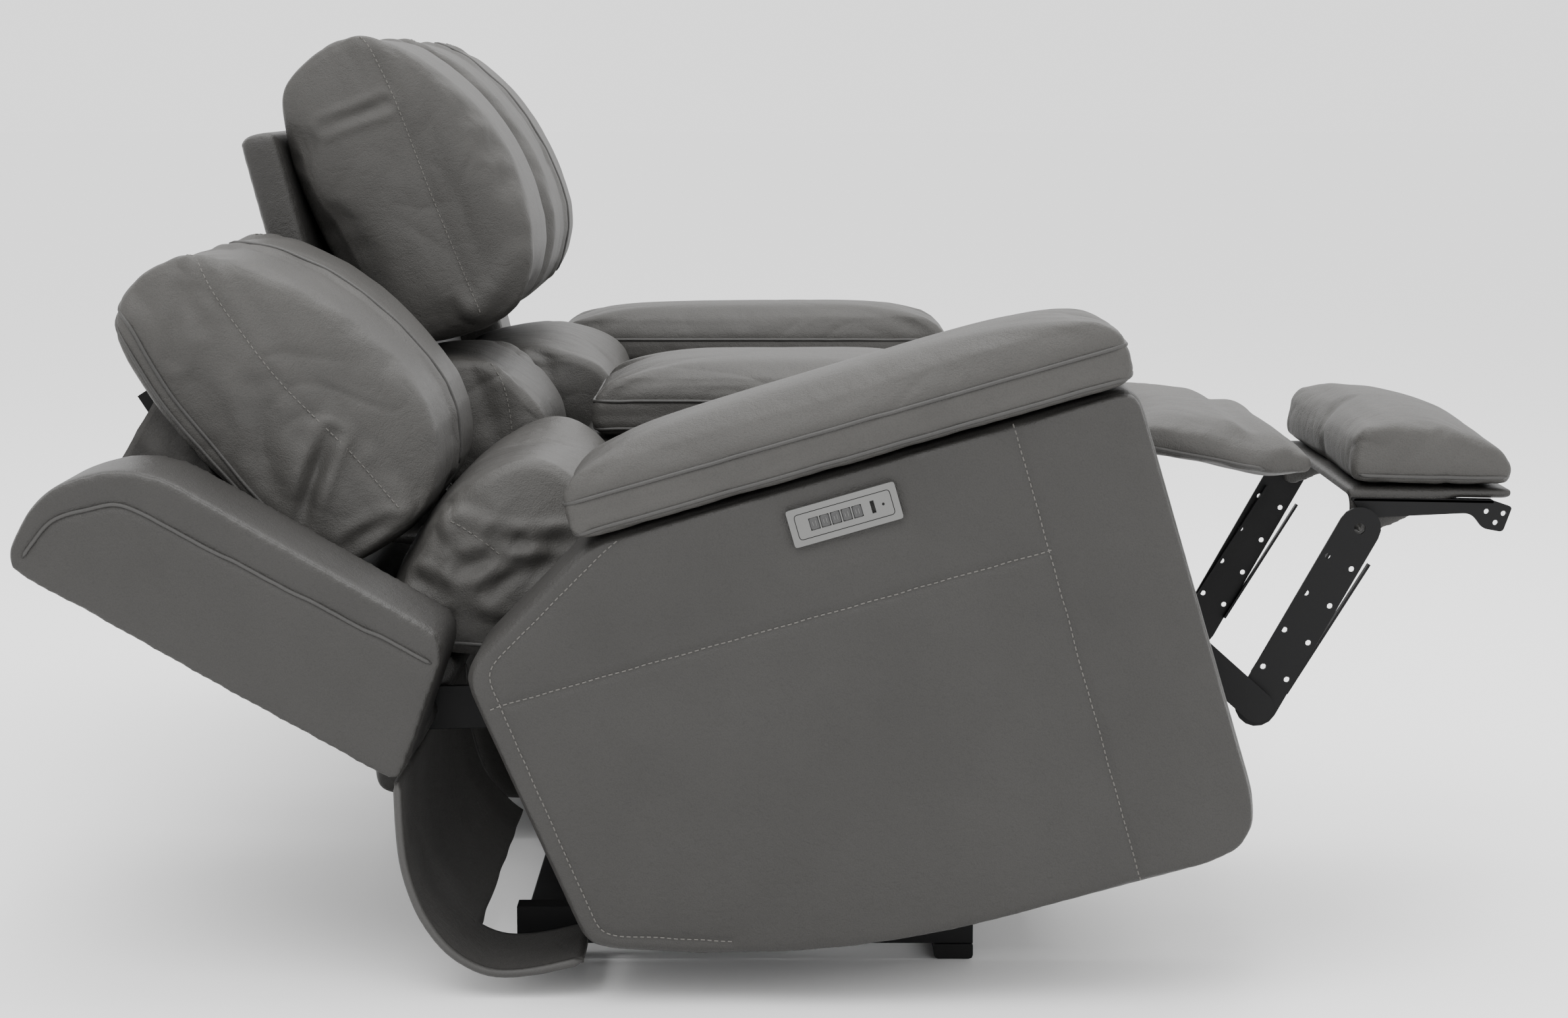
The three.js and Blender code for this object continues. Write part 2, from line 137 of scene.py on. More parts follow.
def evenly(points, step, closed=False):
    run = np.vstack([points, points[:1]]) if closed else np.array(points)
    lengths = np.concatenate([[0], np.cumsum(np.linalg.norm(np.diff(run, axis=0), axis=1))])
    count = max(4, round(lengths[-1] / step))
    marks = np.linspace(0, lengths[-1], count + 1)
    if closed:
        marks = marks[:-1]
    return np.stack([np.interp(marks, lengths, run[:, axis]) for axis in range(3)], 1)


def linkMesh(name, bm):
    mesh = bpy.data.meshes.new(name)
    bm.to_mesh(mesh)
    bm.free()
    obj = bpy.data.objects.new(name, mesh)
    scene.collection.objects.link(obj)
    return obj


def bake(obj):
    # the evaluated shape becomes the object's own mesh
    graph = bpy.context.evaluated_depsgraph_get()
    made = bpy.data.meshes.new_from_object(obj.evaluated_get(graph))
    obj.modifiers.clear()
    old = obj.data
    obj.data = made
    bpy.data.meshes.remove(old)
    return obj


def readPoints(mesh, field="co"):
    values = np.zeros(len(mesh.vertices) * 3)
    source = mesh.vertices if field == "co" else mesh.vertex_normals
    source.foreach_get("co" if field == "co" else "vector", values)
    return values.reshape(-1, 3)


def writePoints(mesh, points):
    mesh.vertices.foreach_set("co", points.ravel())
    mesh.update()


def averager(mesh):
    # gives a function that replaces each point's value by the mean of its neighbours' values
    edges = np.zeros(len(mesh.edges) * 2, int)
    mesh.edges.foreach_get("vertices", edges)
    edges = edges.reshape(-1, 2)
    neighbours = np.bincount(edges.ravel(), minlength=len(mesh.vertices))[:, None]

    def average(field):
        total = np.zeros_like(field)
        for axis in range(3):
            total[:, axis] = (
                np.bincount(edges[:, 0], field[edges[:, 1], axis], len(field))
                + np.bincount(edges[:, 1], field[edges[:, 0], axis], len(field))
            )
        return total / neighbours

    return average


def relax(mesh, rounds, share=0.5, keepShape=True):
    points, average = readPoints(mesh), averager(mesh)
    for turn in range(rounds):
        pull = share if turn % 2 == 0 or not keepShape else -share * 1.02
        points += pull * (average(points) - points)
    writePoints(mesh, points)


def voxelSkin(obj, voxel):
    remesh = obj.modifiers.new("skin", "REMESH")
    remesh.mode = "VOXEL"
    remesh.voxel_size = voxel * mm
    return bake(obj)


def subdivided(obj):
    finer = obj.modifiers.new("finer", "SUBSURF")
    finer.levels = finer.render_levels = 1
    return bake(obj)


def bevelled(obj, width):
    edge = obj.modifiers.new("edge", "BEVEL")
    edge.width = width * mm
    edge.segments = 2
    return bake(obj)


def smoothShaded(obj, smooth=True):
    obj.data.polygons.foreach_set("use_smooth", [smooth] * len(obj.data.polygons))


def fit(obj, finish, body=None):
    # what a piece is finished in, and the body it rides on if it doesn't bend
    obj.data.materials.clear()
    obj.data.materials.append(finish)
    if body:
        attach(obj, body)


def lineDistance(points, lines):
    best = np.full(len(points), 1e9)
    for run in lines:
        for start, end in zip(run[:-1], run[1:]):
            reach = end - start
            share = np.clip((points - start) @ reach / max(reach @ reach, 1e-12), 0, 1)
            apart = np.linalg.norm(points - start - share[:, None] * reach, axis=1)
            best = np.minimum(best, apart)
    return best


def fillRows(bm, rows):
    for low, high in zip(rows[:-1], rows[1:]):
        for corners in zip(low[:-1], low[1:], high[1:], high[:-1]):
            bm.faces.new(corners)


def thinned(run, step):
    return run[::step] if len(run) % step == 1 else np.vstack([run[::step], run[-1:]])


def slab(bm, seat, body, outline, across):
    # a side outline given thickness across the seat
    count = len(outline)
    rings = []
    for level in across:
        rings.append([bm.verts.new(spot(seat, body, level, *point)) for point in outline])
    for index in range(count):
        following = (index + 1) % count
        bm.faces.new([rings[0][index], rings[0][following], rings[1][following], rings[1][index]])
    bm.faces.new(rings[0])
    bm.faces.new(list(reversed(rings[1])))


def rounded(corners, steps=5):
    # [forward, up, radius] corners to a closed outline with arcs
    outline = []
    points = [Vector(corner[:2]) for corner in corners]
    for index, corner in enumerate(corners):
        here = points[index]
        before = (points[index - 1] - here).normalized()
        after = (points[(index + 1) % len(points)] - here).normalized()
        start, end = here + before * corner[2], here + after * corner[2]
        for mark in range(steps + 1):
            share = mark / steps
            outline.append(tuple(
                start * (1 - share) ** 2 + here * 2 * share * (1 - share) + end * share ** 2
            ))
    return outline


cordEnd = 0.35                      # how thin an open cord ends, as a share of its radius
cordGuide = (0.31, 0.17, 0.93)      # a direction that no cord runs along


def sweep(bm, run, radius, closed=False, sides=8):
    # a round cord along a run of points, with domed ends when it is open
    run = np.array(run)
    count = len(run)
    if closed:
        along = np.roll(run, -1, 0) - np.roll(run, 1, 0)
    else:
        along = np.gradient(run, axis=0)
    along /= np.maximum(np.linalg.norm(along, axis=1), 1e-9)[:, None]
    rings = []
    last = np.array(cordGuide)
    for index in range(count):
        tangent = along[index]
        side = last - tangent * (last @ tangent)
        side /= max(np.linalg.norm(side), 1e-9)
        last = side
        other = np.cross(tangent, side)
        size = radius
        if not closed and index in (0, count - 1):
            size = radius * cordEnd
        ring = []
        for turn in range(sides):
            angle = 2 * math.pi * turn / sides
            offset = side * math.cos(angle) * size + other * math.sin(angle) * size
            ring.append(bm.verts.new(run[index] + offset))
        rings.append(ring)
    pairs = list(zip(rings[:-1], rings[1:]))
    if closed:
        pairs.append((rings[-1], rings[0]))
    for first, second in pairs:
        for turn in range(sides):
            following = (turn + 1) % sides
            bm.faces.new([first[turn], first[following], second[following], second[turn]])
    if not closed:
        bm.faces.new(list(reversed(rings[0])))
        bm.faces.new(rings[-1])


def finishMesh(obj, smooth=True):
    bm = bmesh.new()
    bm.from_mesh(obj.data)
    bmesh.ops.remove_doubles(bm, verts=bm.verts, dist=1e-6)
    bmesh.ops.recalc_face_normals(bm, faces=bm.faces)
    bm.to_mesh(obj.data)
    bm.free()
    smoothShaded(obj, smooth)
    return obj


def newGroup(name, inputs, outputs):
    group = bpy.data.node_groups.new(name, "ShaderNodeTree")
    for label, kind, value in inputs:
        socket = group.interface.new_socket(label, in_out="INPUT", socket_type=kind)
        socket.default_value = value
    for label, kind in outputs:
        group.interface.new_socket(label, in_out="OUTPUT", socket_type=kind)
    return group, group.nodes.new("NodeGroupInput"), group.nodes.new("NodeGroupOutput")


def mathNode(tree, operation, first, second=None, clamp=False):
    node = tree.nodes.new("ShaderNodeMath")
    node.operation = operation
    node.use_clamp = clamp
    for index, value in enumerate((first, second)):
        if value is None:
            continue
        if isinstance(value, (int, float)):
            node.inputs[index].default_value = value
        else:
            tree.links.new(value, node.inputs[index])
    return node.outputs[0]


def noiseNode(tree, vector, scale, detail=3, rough=0.5, distortion=0):
    node = tree.nodes.new("ShaderNodeTexNoise")
    node.inputs["Detail"].default_value = detail
    node.inputs["Roughness"].default_value = rough
    node.inputs["Distortion"].default_value = distortion
    if isinstance(scale, (int, float)):
        node.inputs["Scale"].default_value = scale
    else:
        tree.links.new(scale, node.inputs["Scale"])
    tree.links.new(vector, node.inputs["Vector"])
    return node.outputs["Fac"]


skinOutputs = [
    ("Color", "NodeSocketColor"), ("Roughness", "NodeSocketFloat"), ("Height", "NodeSocketFloat"),
]
hide = {
    "pebbleSoftness": 0.35, "creaseSharpness": 9.0, "mottleScale": 7.0, "mottleGain": 1.7,
    "mottleOffset": -0.35, "fineScale": 210.0, "fineDepth": 0.35, "groovePaintedShade": 0.22,
    "mottleGloss": 0.16, "cellGloss": 0.10,
}


def leatherSkin():
    # pebbled grain, fine creases, a mottled tone and painted shade in the grooves between the
    # pebbles, all in object space
    group, given, made = newGroup(
        "leatherSkin",
        [
            ("Grain Scale", "NodeSocketFloat", 620.0),
            ("Grain Depth", "NodeSocketFloat", 0.5),
            ("Crease Scale", "NodeSocketFloat", 46.0),
            ("Crease Depth", "NodeSocketFloat", 0.5),
            ("Tone", "NodeSocketColor", (0.1, 0.1, 0.1, 1)),
            ("Worn Tone", "NodeSocketColor", (0.15, 0.15, 0.15, 1)),
            ("Gloss", "NodeSocketFloat", 0.45),
        ],
        skinOutputs,
    )
    where = group.nodes.new("ShaderNodeTexCoord").outputs["Object"]
    pebble = group.nodes.new("ShaderNodeTexVoronoi")
    pebble.feature = "SMOOTH_F1"
    pebble.inputs["Smoothness"].default_value = hide["pebbleSoftness"]
    group.links.new(where, pebble.inputs["Vector"])
    group.links.new(given.outputs["Grain Scale"], pebble.inputs["Scale"])
    cells = pebble.outputs["Distance"]
    creaseNoise = noiseNode(group, where, given.outputs["Crease Scale"], 5, 0.6, 0.4)
    ridge = mathNode(group, "ABSOLUTE", mathNode(group, "SUBTRACT", creaseNoise, 0.5))
    ridge = mathNode(group, "MULTIPLY", ridge, hide["creaseSharpness"])
    ridge = mathNode(group, "MINIMUM", ridge, 1.0)
    broad = noiseNode(group, where, hide["mottleScale"], 4, 0.55)
    fine = noiseNode(group, where, hide["fineScale"], 3, 0.6)
    grainPart = mathNode(group, "MULTIPLY", cells, given.outputs["Grain Depth"])
    creasePart = mathNode(group, "MULTIPLY", ridge, given.outputs["Crease Depth"])
    finePart = mathNode(group, "MULTIPLY", fine, hide["fineDepth"])
    height = mathNode(group, "ADD", mathNode(group, "SUBTRACT", creasePart, grainPart), finePart)
    mixColor = group.nodes.new("ShaderNodeMix")
    mixColor.data_type = "RGBA"
    wear = mathNode(group, "MULTIPLY_ADD", broad, hide["mottleGain"])
    wear.node.inputs[2].default_value = hide["mottleOffset"]
    wear.node.use_clamp = True
    group.links.new(wear, mixColor.inputs[0])
    group.links.new(given.outputs["Tone"], mixColor.inputs[6])
    group.links.new(given.outputs["Worn Tone"], mixColor.inputs[7])
    shade = group.nodes.new("ShaderNodeMix")
    shade.data_type = "RGBA"
    shade.blend_type = "MULTIPLY"
    shade.inputs[0].default_value = 1
    # painted shade: the colour is darkened where the grain's grooves lie between the pebbles
    groovePaintedShade = mathNode(group, "MULTIPLY", cells, hide["groovePaintedShade"])
    groovePaintedShade = mathNode(group, "SUBTRACT", 1.05, groovePaintedShade)
    group.links.new(mixColor.outputs[2], shade.inputs[6])
    group.links.new(groovePaintedShade, shade.inputs[7])
    mottleRough = mathNode(group, "MULTIPLY", broad, hide["mottleGloss"])
    rough = mathNode(group, "ADD", given.outputs["Gloss"], mottleRough)
    rough = mathNode(group, "ADD", rough, mathNode(group, "MULTIPLY", cells, hide["cellGloss"]))
    group.links.new(shade.outputs[2], made.inputs["Color"])
    group.links.new(rough, made.inputs["Roughness"])
    group.links.new(height, made.inputs["Height"])
    return group


def paintSkin():
    # fine orange peel with cloudy patches of dust, for metal and moulded parts
    group, given, made = newGroup(
        "paintSkin",
        [
            ("Scale", "NodeSocketFloat", 900.0),
            ("Tone", "NodeSocketColor", (0.02, 0.02, 0.02, 1)),
            ("Dust Tone", "NodeSocketColor", (0.08, 0.08, 0.08, 1)),
            ("Dust", "NodeSocketFloat", 0.25),
            ("Gloss", "NodeSocketFloat", 0.4),
        ],
        skinOutputs,
    )
    where = group.nodes.new("ShaderNodeTexCoord").outputs["Object"]
    peel = noiseNode(group, where, given.outputs["Scale"], 3, 0.55)
    cloud = noiseNode(group, where, 14.0, 5, 0.6)
    mixed = group.nodes.new("ShaderNodeMix")
    mixed.data_type = "RGBA"
    group.links.new(mathNode(group, "MULTIPLY", cloud, given.outputs["Dust"]), mixed.inputs[0])
    group.links.new(given.outputs["Tone"], mixed.inputs[6])
    group.links.new(given.outputs["Dust Tone"], mixed.inputs[7])
    rough = mathNode(group, "ADD", given.outputs["Gloss"], mathNode(group, "MULTIPLY", cloud, 0.2))
    group.links.new(mixed.outputs[2], made.inputs["Color"])
    group.links.new(rough, made.inputs["Roughness"])
    group.links.new(peel, made.inputs["Height"])
    return group


skinGroups = {"leather": leatherSkin(), "paint": paintSkin()}


def material(name, skin, values, bump, metallic=0.0, specular=0.5):
    made = bpy.data.materials.new(name)
    made.use_nodes = True
    tree = made.node_tree
    shader = tree.nodes["Principled BSDF"]
    shader.inputs["Metallic"].default_value = metallic
    shader.inputs["Specular IOR Level"].default_value = specular
    group = tree.nodes.new("ShaderNodeGroup")
    group.node_tree = skinGroups[skin]
    for label, value in values.items():
        group.inputs[label].default_value = (*value, 1) if isinstance(value, tuple) else value
    relief = tree.nodes.new("ShaderNodeBump")
    relief.inputs["Strength"].default_value = bump["strength"]
    relief.inputs["Distance"].default_value = bump["depth"]
    tree.links.new(group.outputs["Color"], shader.inputs["Base Color"])
    tree.links.new(group.outputs["Roughness"], shader.inputs["Roughness"])
    tree.links.new(group.outputs["Height"], relief.inputs["Height"])
    tree.links.new(relief.outputs["Normal"], shader.inputs["Normal"])
    return made


leather = material("taupeLeather", "leather", {
    "Tone": (0.0255, 0.0245, 0.0230), "Worn Tone": (0.0330, 0.0318, 0.0300), "Gloss": 0.36,
}, {"strength": 0.55, "depth": 0.0011}, specular=0.26)
# the pads' leather, with its own finer creases; its tone is set lighter than the arm leather's as
# painted light, standing in for the fill light on the pads' sides
softLeatherPaintedLight = material("crushedLeatherPaintedLight", "leather", {
    "Tone": (0.0375, 0.0361, 0.0338), "Worn Tone": (0.0520, 0.0501, 0.0470), "Gloss": 0.41,
    "Crease Scale": 30.0, "Crease Depth": 0.42,
}, {"strength": 0.5, "depth": 0.0012}, specular=0.26)
weltLeather = material("weltLeather", "leather", {
    "Tone": (0.0240, 0.0232, 0.0220), "Worn Tone": (0.0400, 0.0386, 0.0365), "Gloss": 0.40,
    "Crease Scale": 160.0, "Crease Depth": 0.4,
}, {"strength": 0.4, "depth": 0.0006}, specular=0.4)
# the lining leather of the flaps and bellows: its own tone, raised as painted light so the flap is
# brighter where it lies in shade; the bellows take the same raise
liningLeatherPaintedLight = material("liningLeatherPaintedLight", "leather", {
    "Tone": (0.0350, 0.0338, 0.0321), "Worn Tone": (0.0470, 0.0454, 0.0431), "Gloss": 0.62,
    "Crease Scale": 18.0, "Crease Depth": 0.8,
}, {"strength": 0.45, "depth": 0.0014}, specular=0.26)
threadFinish = material("thread", "paint", {
    "Tone": (0.075, 0.072, 0.067), "Dust Tone": (0.12, 0.115, 0.107), "Dust": 0.7, "Gloss": 0.55,
    "Scale": 2600.0,
}, {"strength": 0.5, "depth": 0.0003}, specular=0.26)
blackSteel = material("blackSteel", "paint", {
    "Tone": (0.0022, 0.0022, 0.0024), "Dust Tone": (0.009, 0.009, 0.0094), "Dust": 0.35,
    "Gloss": 0.34,
}, {"strength": 0.22, "depth": 0.0004}, specular=0.16)
blackPlastic = material("blackPlastic", "paint", {
    "Tone": (0.003, 0.003, 0.003), "Dust Tone": (0.014, 0.014, 0.014), "Dust": 0.4, "Gloss": 0.45,
    "Scale": 1600.0,
}, {"strength": 0.35, "depth": 0.0004}, specular=0.14)
satinMetal = material("satinMetal", "paint", {
    "Tone": (0.155, 0.155, 0.151), "Dust Tone": (0.11, 0.11, 0.108), "Dust": 0.5, "Gloss": 0.34,
    "Scale": 2200.0,
}, {"strength": 0.15, "depth": 0.0002}, metallic=0.75)
buttonPlastic = material("buttonPlastic", "paint", {
    "Tone": (0.035, 0.035, 0.035), "Dust Tone": (0.07, 0.07, 0.07), "Dust": 0.4, "Gloss": 0.35,
    "Scale": 2400.0,
}, {"strength": 0.15, "depth": 0.0002}, metallic=0.3)
finishOf = {
    "leather": leather, "flap_leather": liningLeatherPaintedLight, "black_steel": blackSteel,
    "black_plastic": blackPlastic, "satin_metal": satinMetal, "button_plastic": buttonPlastic,
    "board": leather,
}
for node in nodes.values():
    for socket in node.material_slots:
        key = socket.material.name.split(".")[0] if socket.material else ""
        socket.material = finishOf.get(key, blackSteel)
print("materials ready")


def mirrored(run):
    return [(-across, out, up) for across, out, up in run]


def overTop(side, top):
    # up one side, across the top and down the other
    return side + top + mirrored(top)[::-1] + mirrored(side)[::-1]


def headSeams(half):
    rear = overTop(
        [(half, 140, 215), (half, 132, 280), (half, 118, 407), (half, 111, 452), (half, 116, 546)],
        [(half - 34, 128, 580)],
    )
    crown = [
        (0, 320, 190), (0, 372, 250), (0, 372, 360), (0, 345, 470), (0, 300, 560), (0, 235, 610),
    ]
    middle = [
        (half, 265, 209), (half, 257, 274), (half, 226, 405), (half, 219, 531),
        (half - 30, 223, 600),
    ]
    return {
        "welts": [rear, [(across, out - 16, up) for across, out, up in rear], crown],
        "seams": [middle, mirrored(middle)],
    }


def sideEdge(half, out, top, bottom):
    edge = [(half, out, top), (half, out, (top + bottom) / 2), (half, out, bottom)]
    return [edge, mirrored(edge)]


def lumbarSeams(half, top):
    edge = [(half, 110, top - 20), (half, 112, 60), (half, 176, -70)]
    return {
        "welts": [edge, mirrored(edge)],
        "seams": [[(half, 256, top - 24), (half, 257, 65), (half, 250, 30)],
                  [(-half, 256, top - 24), (-half, 257, 65), (-half, 250, 30)]],
    }


# One dictionary for each padded piece: how fine its skin is, how far it is drawn in before it
# fills, its welts and seams, and where its leather folds: (points, depth, width). All in
# millimetres, and a taper is where it begins, how long it is and how much narrower it gets.
padSettings = {
    "seat_cushion": {
        "body": "seat", "voxel": 7, "drawIn": 7, "cap": 22, "pressure": 3.0, "subdivide": False,
        "loops": [
            {"axis": "across", "level": 266, "inset": 22},
            {"axis": "across", "level": -266, "inset": 22},
        ],
        "wrinkle": {"size": (60, 110, 80), "depth": 1.6, "seed": 3},
    },
    "lumbar_cushion": {
        "body": "back", "voxel": 6, "drawIn": 8, "cap": 26, "pressure": 3.6, "subdivide": True,
        "seamsOf": lumbarSeams(272, 118), "slack": 0.012, "taper": (230, 150, 0.12),
        "folds": [
            ([(272, 263, 41), (272, 266, 27), (272, 276, 18), (268, 295, -25),
              (268, 310, -42)], 6, 8),
            ([(272, 267, 15), (272, 247, 24), (272, 226, 43), (272, 215, 59)], 7, 9),
            ([(272, 267, 2), (272, 238, 9), (272, 203, 20)], 8, 9),
            ([(272, 290, -33), (272, 250, -12), (272, 214, 1)], 10, 12),
            ([(272, 171, 131), (272, 177, 99), (272, 177, 66)], 6, 9),
        ],
        "wrinkle": {"size": (60, 90, 60), "depth": 2.2, "seed": 7},
    },
    "head_cushion": {
        "body": "head", "voxel": 6, "drawIn": 8, "cap": 28, "pressure": 3.8, "subdivide": True,
        "seamsOf": headSeams(268), "slack": 0.006, "taper": (190, 180, 0.3),
        "folds": [
            ([(268, 242, 318), (268, 202, 293), (268, 154, 252)], 11, 9),
            ([(268, 333, 358), (268, 320, 325), (268, 283, 312), (268, 266, 293)], 5, 10),
            ([(268, 338, 294), (268, 325, 255), (268, 310, 231), (268, 277, 211)], 5, 10),
            ([(268, 288, 346), (268, 259, 317)], 4, 9),
            ([(268, 188, 550), (268, 142, 493)], 4, 9),
            ([(268, 202, 541), (268, 182, 507)], 3, 8),
            ([(268, 204, 413), (268, 167, 342), (268, 145, 289)], 5, 14),
            ([(268, 190, 199), (268, 237, 203), (268, 265, 188)], 8, 8),
            ([(-268, 236, 322), (-268, 190, 280), (-268, 160, 240)], 8, 10),
            ([(-268, 330, 330), (-268, 300, 280), (-268, 270, 230)], 5, 11),
        ],
        "wrinkle": {"size": (80, 80, 110), "depth": 1.6, "seed": 11},
    },
    "arm_pad": {
        "body": "seat", "voxel": 6, "drawIn": 5, "cap": 20, "pressure": 3.0, "subdivide": True,
        "loops": [
            {"axis": "up", "level": 606, "inset": -4}, {"axis": "up", "level": 568, "inset": -2},
        ],
        "wrinkle": {"size": (80, 160, 60), "depth": 1.2, "seed": 17},
    },
    "calf_pad": {
        "body": "calf", "voxel": 6, "drawIn": 5, "cap": 20, "pressure": 3.4, "subdivide": True,
        "seamsOf": {"welts": sideEdge(249, 259, 446, 286), "seams": []},
        "folds": [([(240, 300, 300), (60, 303, 312), (-240, 300, 300)], 5, 14)],
        "wrinkle": {"size": (60, 80, 60), "depth": 1.8, "seed": 23},
    },
    "ottoman_pad": {
        "body": "ottoman", "voxel": 6, "drawIn": 5, "cap": 22, "pressure": 3.6, "subdivide": True,
        "seamsOf": {"welts": sideEdge(249, 209, 258, 78), "seams": []},
        "folds": [([(230, 284, 238), (0, 290, 246), (-230, 284, 238)], 4, 12)],
        "wrinkle": {"size": (60, 80, 60), "depth": 1.6, "seed": 29},
    },
    "console_lid": {
        "body": "console", "voxel": 6, "drawIn": 5, "cap": 20, "pressure": 3.0, "subdivide": True,
        "loops": [
            {"axis": "up", "level": 600, "inset": -4}, {"axis": "up", "level": 560, "inset": -2},
        ],
        "wrinkle": {"size": (80, 160, 60), "depth": 1.2, "seed": 31},
    },
    "console_head_cushion": {
        "body": "back", "voxel": 6, "drawIn": 8, "cap": 26, "pressure": 3.8, "subdivide": True,
        "taper": (190, 180, 0.2),
        "seamsOf": {
            "welts": [],
            "seams": [
                [(half, 197, 600), (half, 216, 507), (half, 224, 423), (half, 231, 351),
                 (half, 251, 200)]
                for half in (-168, 168)
            ],
        },
        "folds": [
            ([(-168, 119, 487), (-168, 163, 491), (-168, 201, 496)], 5, 7),
            ([(-168, 330, 230), (-168, 292, 190), (-168, 250, 170)], 12, 16),
            ([(168, 119, 487), (168, 163, 491), (168, 201, 496)], 5, 7),
        ],
        "wrinkle": {"size": (80, 80, 110), "depth": 1.4, "seed": 37},
    },
    "console_lumbar_cushion": {
        "body": "back", "voxel": 6, "drawIn": 8, "cap": 24, "pressure": 3.6, "subdivide": True,
        "seamsOf": lumbarSeams(168, 160), "slack": 0.008,
        "wrinkle": {"size": (60, 80, 60), "depth": 1.8, "seed": 41},
    },
}
welt = {"radius": 2.6, "sides": 8, "step": 7, "groove": 2.4, "grooveWidth": 8}

# how far down the reclined calf pad reaches to meet its footrest, and its hinge's height
calfReach = {"hinge": 455, "from": 330, "shut": 275, "open": 222}


def localMatrix(seat, body):
    # from the rest pose to (across, forward, up) in millimetres on the piece's own body
    axes = Matrix(((seats.get(seat, 1), 0, 0, 0), (0, -1, 0, 0), (0, 0, 1, 0), (0, 0, 0, 1)))
    back = bodyMatrix(seat, body).inverted()
    centre = layout["seatCentre"] if seat in seats else 0
    shift = Matrix.Translation((-centre, -layout["originShift"], 0))
    toShut = shift @ axes @ Matrix.Scale(1000, 4) @ back
    if body not in ("back", "head"):
        return toShut
    foot = Matrix.Translation((0, -layout["backFoot"][0], -layout["backFoot"][1]))
    return Matrix.Rotation(math.radians(-layout["backLean"]), 4, "X") @ foot @ toShut


def carried(matrix, points):
    full = np.array(matrix)
    return points @ full[:3, :3].T + full[:3, 3]


def cadLoop(node, toLocal, loop):
    # the outline of a CAD solid seen along one axis, as a closed run of points
    local = carried(toLocal, readPoints(nodes[node].data))
    drop = 0 if loop["axis"] == "across" else 2
    keep = [axis for axis in range(3) if axis != drop]
    flat = [tuple(point) for point in local[:, keep]]
    hull = np.array([flat[index] for index in geometry.convex_hull_2d(flat)])
    ring = np.zeros((len(hull), 3))
    ring[:, keep] = hull
    ring[:, drop] = loop["level"]
    ring = smoothLine(evenly(ring, 8, True), 3, True)
    along = np.roll(ring, -1, 0) - np.roll(ring, 1, 0)
    along /= np.maximum(np.linalg.norm(along, axis=1), 1e-9)[:, None]
    axis = np.eye(3)[drop]
    inward = np.cross(axis, along)
    centre = ring.mean(0)
    if ((centre - ring) * inward).sum() < 0:
        inward = -inward
    return smoothLine(ring + inward * loop["inset"], 4, True)


def softCopy(name, node, voxel):
    bm = bmesh.new()
    bm.from_mesh(nodes[node].data)
    bmesh.ops.remove_doubles(bm, verts=bm.verts, dist=1e-5)
    obj = linkMesh(name, bm)
    return voxelSkin(obj, voxel)


def snap(obj, runs, closed):
    tree = BVHTree.FromObject(obj, bpy.context.evaluated_depsgraph_get())
    snapped = [np.array([tree.find_nearest(Vector(point))[0] for point in run]) for run in runs]
    return [smoothLine(run, 3, closed) for run in snapped]


def padLines(pad, node, settings, toLocal):
    # every seam of a pad on its skin: (run, is it closed, is it a welt)
    toWorld = np.array(toLocal.inverted())
    loops = [carried(toWorld, cadLoop(node, toLocal, loop)) for loop in settings.get("loops", [])]
    found = [(run, True, True) for run in snap(pad, loops, True)]
    sewn = settings.get("seamsOf", {})
    for kind in ("welts", "seams"):
        drawn = [
            evenly(carried(toWorld, smoothCorners(run)), 8 * mm) for run in sewn.get(kind, [])
        ]
        found += [(run, False, kind == "welts") for run in snap(pad, drawn, False)]
    return found


def smoothCorners(points):
    run = evenly(np.array(points, float), 12)
    return smoothLine(run, 6)


filling = {     # the cloth that every pad is filled as
    "quality": 4, "mass": 0.4, "tension_stiffness": 18, "compression_stiffness": 14,
    "shear_stiffness": 8, "bending_stiffness": 4, "use_pressure": True,
}
fillSteps = 20
firmEdge = 30       # a pad is drawn in less than this close to a seam
heldShare = 0.75    # the held edge beside a seam, in voxels
usualSlack = 0.002


